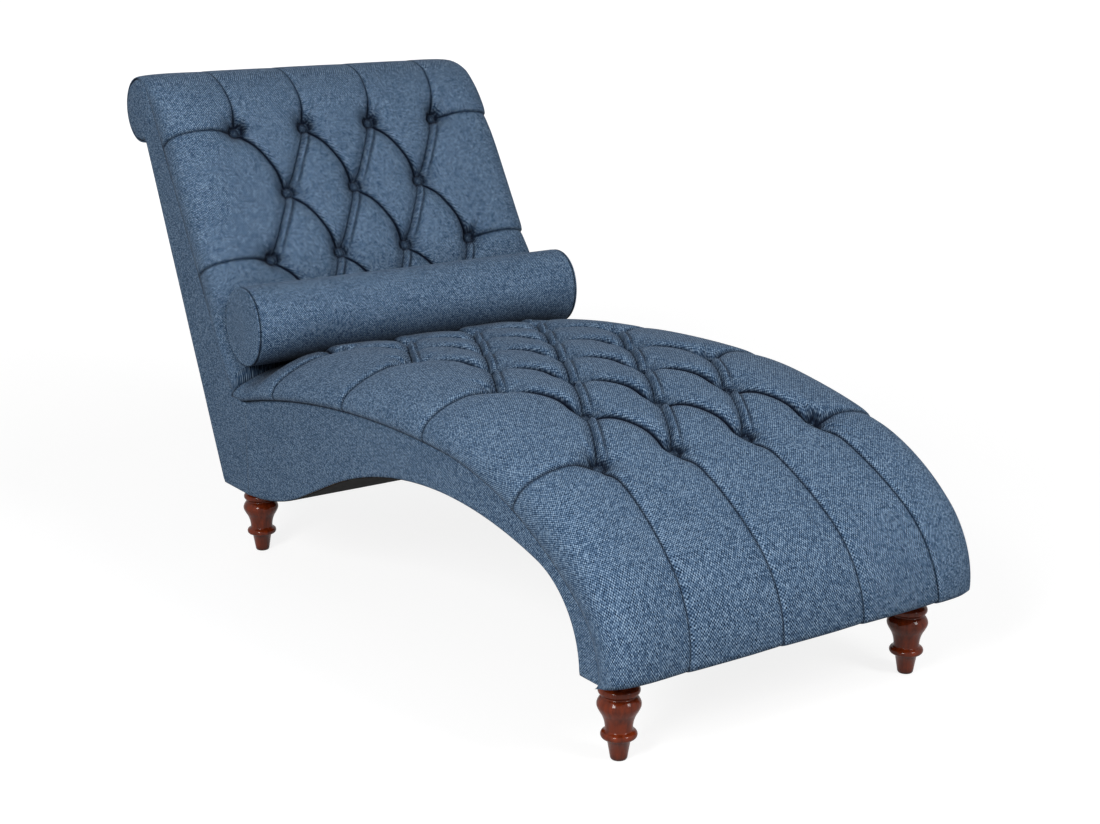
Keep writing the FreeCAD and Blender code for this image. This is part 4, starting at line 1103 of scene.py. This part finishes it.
def set_buttons(name, tufting, points, normals):
    """Runs the tree on the bottoms of a pad's dimples and keeps the result as a plain mesh."""
    across_lines, along_lines, _ = grid_lines(tufting, *tufting.ends)
    spots, facings = [], []
    for x, at in tufting.buttons:
        row, column = np.abs(along_lines - at).argmin(), np.abs(across_lines - x).argmin()
        facings.append(normals[row, column])
        spots.append(points[row, column] - BUTTON_SUNK * normals[row, column])
    mesh = bpy.data.meshes.new(name + "_places")
    mesh.from_pydata(np.array(spots).tolist(), [], [])
    facing = mesh.attributes.new("facing", "FLOAT_VECTOR", "POINT")
    facing.data.foreach_set("vector", np.array(facings).ravel())
    source = add_object(name + "_places", mesh)
    modifier = source.modifiers.new("set_buttons", "NODES")
    modifier.node_group = tree
    for socket, value in (("Button", template), ("Cloth", button_cloth), ("Seed", BUTTON_SPIN_SEED)):
        modifier[sockets[socket]] = value
    bpy.context.view_layer.update()
    made = bpy.data.meshes.new_from_object(source.evaluated_get(bpy.context.evaluated_depsgraph_get()))
    made.name = name
    source.modifiers.clear()
    bpy.data.objects.remove(source)
    made.shade_smooth()
    print(name, len(spots), "buttons", len(made.polygons), "faces")
    return add_object(name, made)


button_cloth = cloth_material("button_cloth")
template = button_template()
tree, sockets = button_tree()
seat_set = set_buttons("seat_covered_buttons", SEAT_TUFTS, seat_points, seat_normals)
back_set = set_buttons("back_covered_buttons", BACK_TUFTS, back_points, back_normals)
dress(seat_set, "seat_buttons")
dress(back_set, "back_buttons")
bpy.data.objects.remove(template)

# %% [markdown]
# Turned legs. The outline is the turner's profile: a tapered foot with a rounded sole, a ring, a vase
# that swells into a bulb in one smooth curve, a collar and a short drum under the frame. The wood is a
# red-brown stain under a glossy coat, with painted shade in the hollows.

# %% Legs
LEG_TURNS = 72
# The construction model's legs are this wide at their bulb, measured from their middle line.
LEG_WIDEST = 30 * MM
BEAD_STEP = 12
VASE = [(18.9, 45), (19.3, 51), (20.8, 58), (23.6, 65), (27.4, 71.5), (30.2, 78), (29.9, 83.5), (27, 88.8),
        (24.6, 91.6)]


def bead(height, centre, radius, start, end):
    """Points round a bead's outer side, by angle in degrees from the floor's direction."""
    angles = np.radians(np.arange(start, end + 1, BEAD_STEP))
    return np.column_stack([centre + radius * np.sin(angles), height - radius * np.cos(angles)])


def smooth_run(corners, steps):
    """A curve through (radius, height) corners, with Catmull-Rom spans."""
    corners = np.array([corners[0], *corners, corners[-1]], float)
    result = []
    for a, b, c, d in zip(corners, corners[1:], corners[2:], corners[3:]):
        for share in np.linspace(0, 1, steps, endpoint=False):
            result.append(0.5 * (2 * b + (c - a) * share + (2 * a - 5 * b + 4 * c - d) * share ** 2
                                 + (3 * b - a - 3 * c + d) * share ** 3))
    return [*result, corners[-1]]


# Radius and height of each corner in millimetres, from the sole's middle to the top's middle.
LEG_PROFILE = np.array([
    (0, 0), (8.4, 0), (10.6, 0.9), (11.8, 2.8), (12.2, 5.5), (16.4, 30.2), (17.6, 30.9),
    *bead(36.6, 19.6, 5.6, 36, 156), (19.6, 42.8), (19.0, 43.8), *smooth_run(VASE, 5),
    (24.0, 92.6), (24.2, 93.8), *bead(100.2, 22.6, 6.3, 48, 150), (24.0, 106.6), (22, 108.4),
    (22, 126.8), (0, 126.8)]) * MM


def leg_pair(name, node):
    """Two turned legs at the places of the construction model's pair."""
    low, high = (np.array(corner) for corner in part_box(node))
    middle_y = (low[1] + high[1]) / 2
    corner, turn, faces = revolved(len(LEG_PROFILE), LEG_TURNS)
    radius, height = LEG_PROFILE[corner].T
    legs = [np.column_stack([x + radius * np.cos(turn), middle_y + radius * np.sin(turn), height])
            for x in (low[0] + LEG_WIDEST, high[0] - LEG_WIDEST)]
    faces += [tuple(index + len(corner) for index in face) for face in faces]
    flat = np.column_stack([radius * turn, height])
    return make_piece(name, np.concatenate(legs), faces, np.tile(flat, (2, 1)), leg_finish)


def varnished_wood():
    """Red-brown stain with grain along the leg, painted shade in the hollows, under a glossy coat."""
    material, paint, shader = new_material("mahogany_varnish")
    place = paint.place()
    grain = paint.noise(paint.stretched(place, (160.0, 160.0, 14.0)), 1.0, 6.0, Roughness=0.6)
    pores = paint.noise(place, 900.0, 2.0)
    stain = paint.mix((grain * 1.6 - 0.35).clamped(), from_screen(72, 26, 12), from_screen(146, 56, 20))
    # Painted shade in the turned hollows, where little light reaches.
    colour = paint.mix((paint.openness(0.012) ** 1.5).clamped(), from_screen(46, 17, 9), stain)
    bump = paint.bump(grain * 0.5 + pores * 0.5, 0.08, 0.0003)
    feed(paint, shader, Base_Color=colour, Roughness=(pores * 0.12 + 0.26).clamped(), Normal=bump,
         Coat_Weight=0.22, Coat_Roughness=0.05, Coat_IOR=1.7, Specular_IOR_Level=0.03)
    return material


leg_finish = varnished_wood()
for end in ("front", "rear"):
    dress(leg_pair(end + "_turned_legs", end + "_legs"), end + "_legs")

# %% [markdown]
# The frame inside. Nobody sees it in the photograph, but each kind of part gets its own finish: sawn
# pine with growth rings, layered kraft board for the decks and the tube, and zinc-plated steel.

# %% Hidden frame
def pine(paint):
    place = paint.place()
    warped = paint.noise(place, 3.0, 3.0)
    rings = paint.node("ShaderNodeTexWave", {"wave_type": "BANDS", "bands_direction": "Z"}, place, Scale=22.0,
                       Distortion=7.0, Detail=3.0)
    fibres = paint.noise(paint.stretched(place, (300, 20, 300)), 1.0, 4.0)
    return rings * 0.55 + fibres * 0.45 + (warped - 0.5) * 0.3, fibres * 0.2 + 0.6, fibres


def kraft_board(paint):
    place = paint.place()
    pulp = paint.noise(place, 140.0, 5.0)
    specks = paint.node("ShaderNodeTexVoronoi", {}, place, Scale=520.0)
    return pulp * 1.3 - 0.15, pulp * 0.15 + 0.75, pulp + specks * 0.3


def zinc(paint):
    place = paint.place()
    spangle = paint.node("ShaderNodeTexVoronoi", {}, place, Scale=260.0)
    haze = paint.noise(place, 90.0, 4.0)
    return spangle * 0.6 + haze * 0.4, haze * 0.25 + 0.25, haze


FRAME_FINISHES = {
    "frame_wood": patterned("sawn_pine", pine, (168, 124, 78), (219, 184, 134), 0.2, 0.0005),
    "core_board": patterned("kraft_board", kraft_board, (138, 104, 70), (186, 150, 110), 0.15, 0.0004),
    "fixing_steel": patterned("zinc_plated_steel", zinc, (150, 152, 156), (196, 197, 200), 0.06, 0.0002,
                              Metallic=1.0)}
dressed = []
for part in frame["record"]["subparts"]:
    finish = FRAME_FINISHES.get(part["material_slot"])
    piece = frame["nodes"].get(part["node"])
    if finish and piece:
        for slot in piece.material_slots:
            slot.material = finish
        dressed.append(part["node"])
print("dressed", len(dressed), "frame parts of", len(frame["nodes"]), "nodes")

# %% [markdown]
# The studio. Two tall soft lights stand left and right of the camera and a wide one hangs above. To
# the camera the world is pure white and the floor glows almost white, as in a cut-out picture. The
# floor still takes the soft shadow of the piece, and lights it no more than plain grey paper would.

# %% Studio
WHITE = (1, 1, 1, 1)
PAPER_GREY = (0.25, 0.25, 0.25, 1)
FLOOR_HALF = 40.0
FLOOR_GLOW = 0.84
# The floor's glow grows to full white from this far from the middle, by this share per metre.
GLOW_FROM = 1.2
GLOW_GROWTH = 0.3
WORLD_LIGHT = 0.13


def add_area(name, place, target_height, size, power):
    """A soft light that looks at a height over the floor's middle."""
    data = bpy.data.lights.new(name, "AREA")
    data.shape = "RECTANGLE"
    data.size, data.size_y = size
    data.energy = power
    lamp = add_object(name, data)
    lamp.location = place
    lamp.rotation_euler = (Vector((0, 0, target_height)) - Vector(place)).to_track_quat("-Z", "Y").to_euler()


def white_share(tree):
    """1 for rays that should find plain white paper: the camera's, and those in gloss and glass."""
    path = tree.nodes.new("ShaderNodeLightPath")
    camera_ray, glossy, through = (Shade(tree, path.outputs[name])
                                   for name in ("Is Camera Ray", "Is Glossy Ray", "Is Transmission Ray"))
    return (camera_ray + glossy + through).clamped()


def show(paint, plain, bright, output):
    """Ends a tree in a shader for most rays, and another for the rays that should find white."""
    mixed = paint.node("ShaderNodeMixShader", {}, white_share(paint.tree), plain, bright)
    paint.tree.links.new(mixed.socket, paint.tree.nodes[output].inputs["Surface"])


add_area("left_softbox", (-3.0, -1.9, 2.2), 0.45, (0.9, 1.4), 98)
add_area("right_softbox", (0.9, -3.3, 2.4), 0.45, (0.9, 1.2), 54)
add_area("top_softbox", (0.1, 0.3, 3.0), 0.4, (1.8, 1.8), 2)

floor_material, paint, shader = new_material("white_paper")
feed(paint, shader, Base_Color=PAPER_GREY, Roughness=0.9)
from_middle = paint.node("ShaderNodeVectorMath", {"operation": "LENGTH"}, paint.place(), output="Value")
whiteness = ((from_middle - GLOW_FROM) * GLOW_GROWTH).clamped() * (1 - FLOOR_GLOW) + FLOOR_GLOW
white = paint.node("ShaderNodeCombineColor", {}, whiteness, whiteness, whiteness)
glow = paint.node("ShaderNodeEmission", {}, Color=white, Strength=1.0)
paper = Shade(paint.tree, shader.outputs[0])
show(paint, paper, paint.node("ShaderNodeAddShader", {}, paper, glow), "Material Output")
mesh = bpy.data.meshes.new("floor")
corners = [(x * FLOOR_HALF, y * FLOOR_HALF, 0) for x, y in ((-1, -1), (1, -1), (1, 1), (-1, 1))]
mesh.from_pydata(corners, [], [(0, 1, 2, 3)])
mesh.materials.append(floor_material)
floor = add_object("floor", mesh)

world = bpy.data.worlds.new("studio")
world.use_nodes = True
bpy.context.scene.world = world
paint = Paint(world.node_tree)
background = world.node_tree.nodes["Background"]
feed(paint, background, Color=WHITE, Strength=WORLD_LIGHT)
bright = paint.node("ShaderNodeBackground", {}, Color=WHITE, Strength=1.0)
show(paint, Shade(paint.tree, background.outputs[0]), bright, "World Output")
bpy.context.scene.view_settings.view_transform = "Standard"
print("lights", sorted(light.name for light in bpy.data.lights))
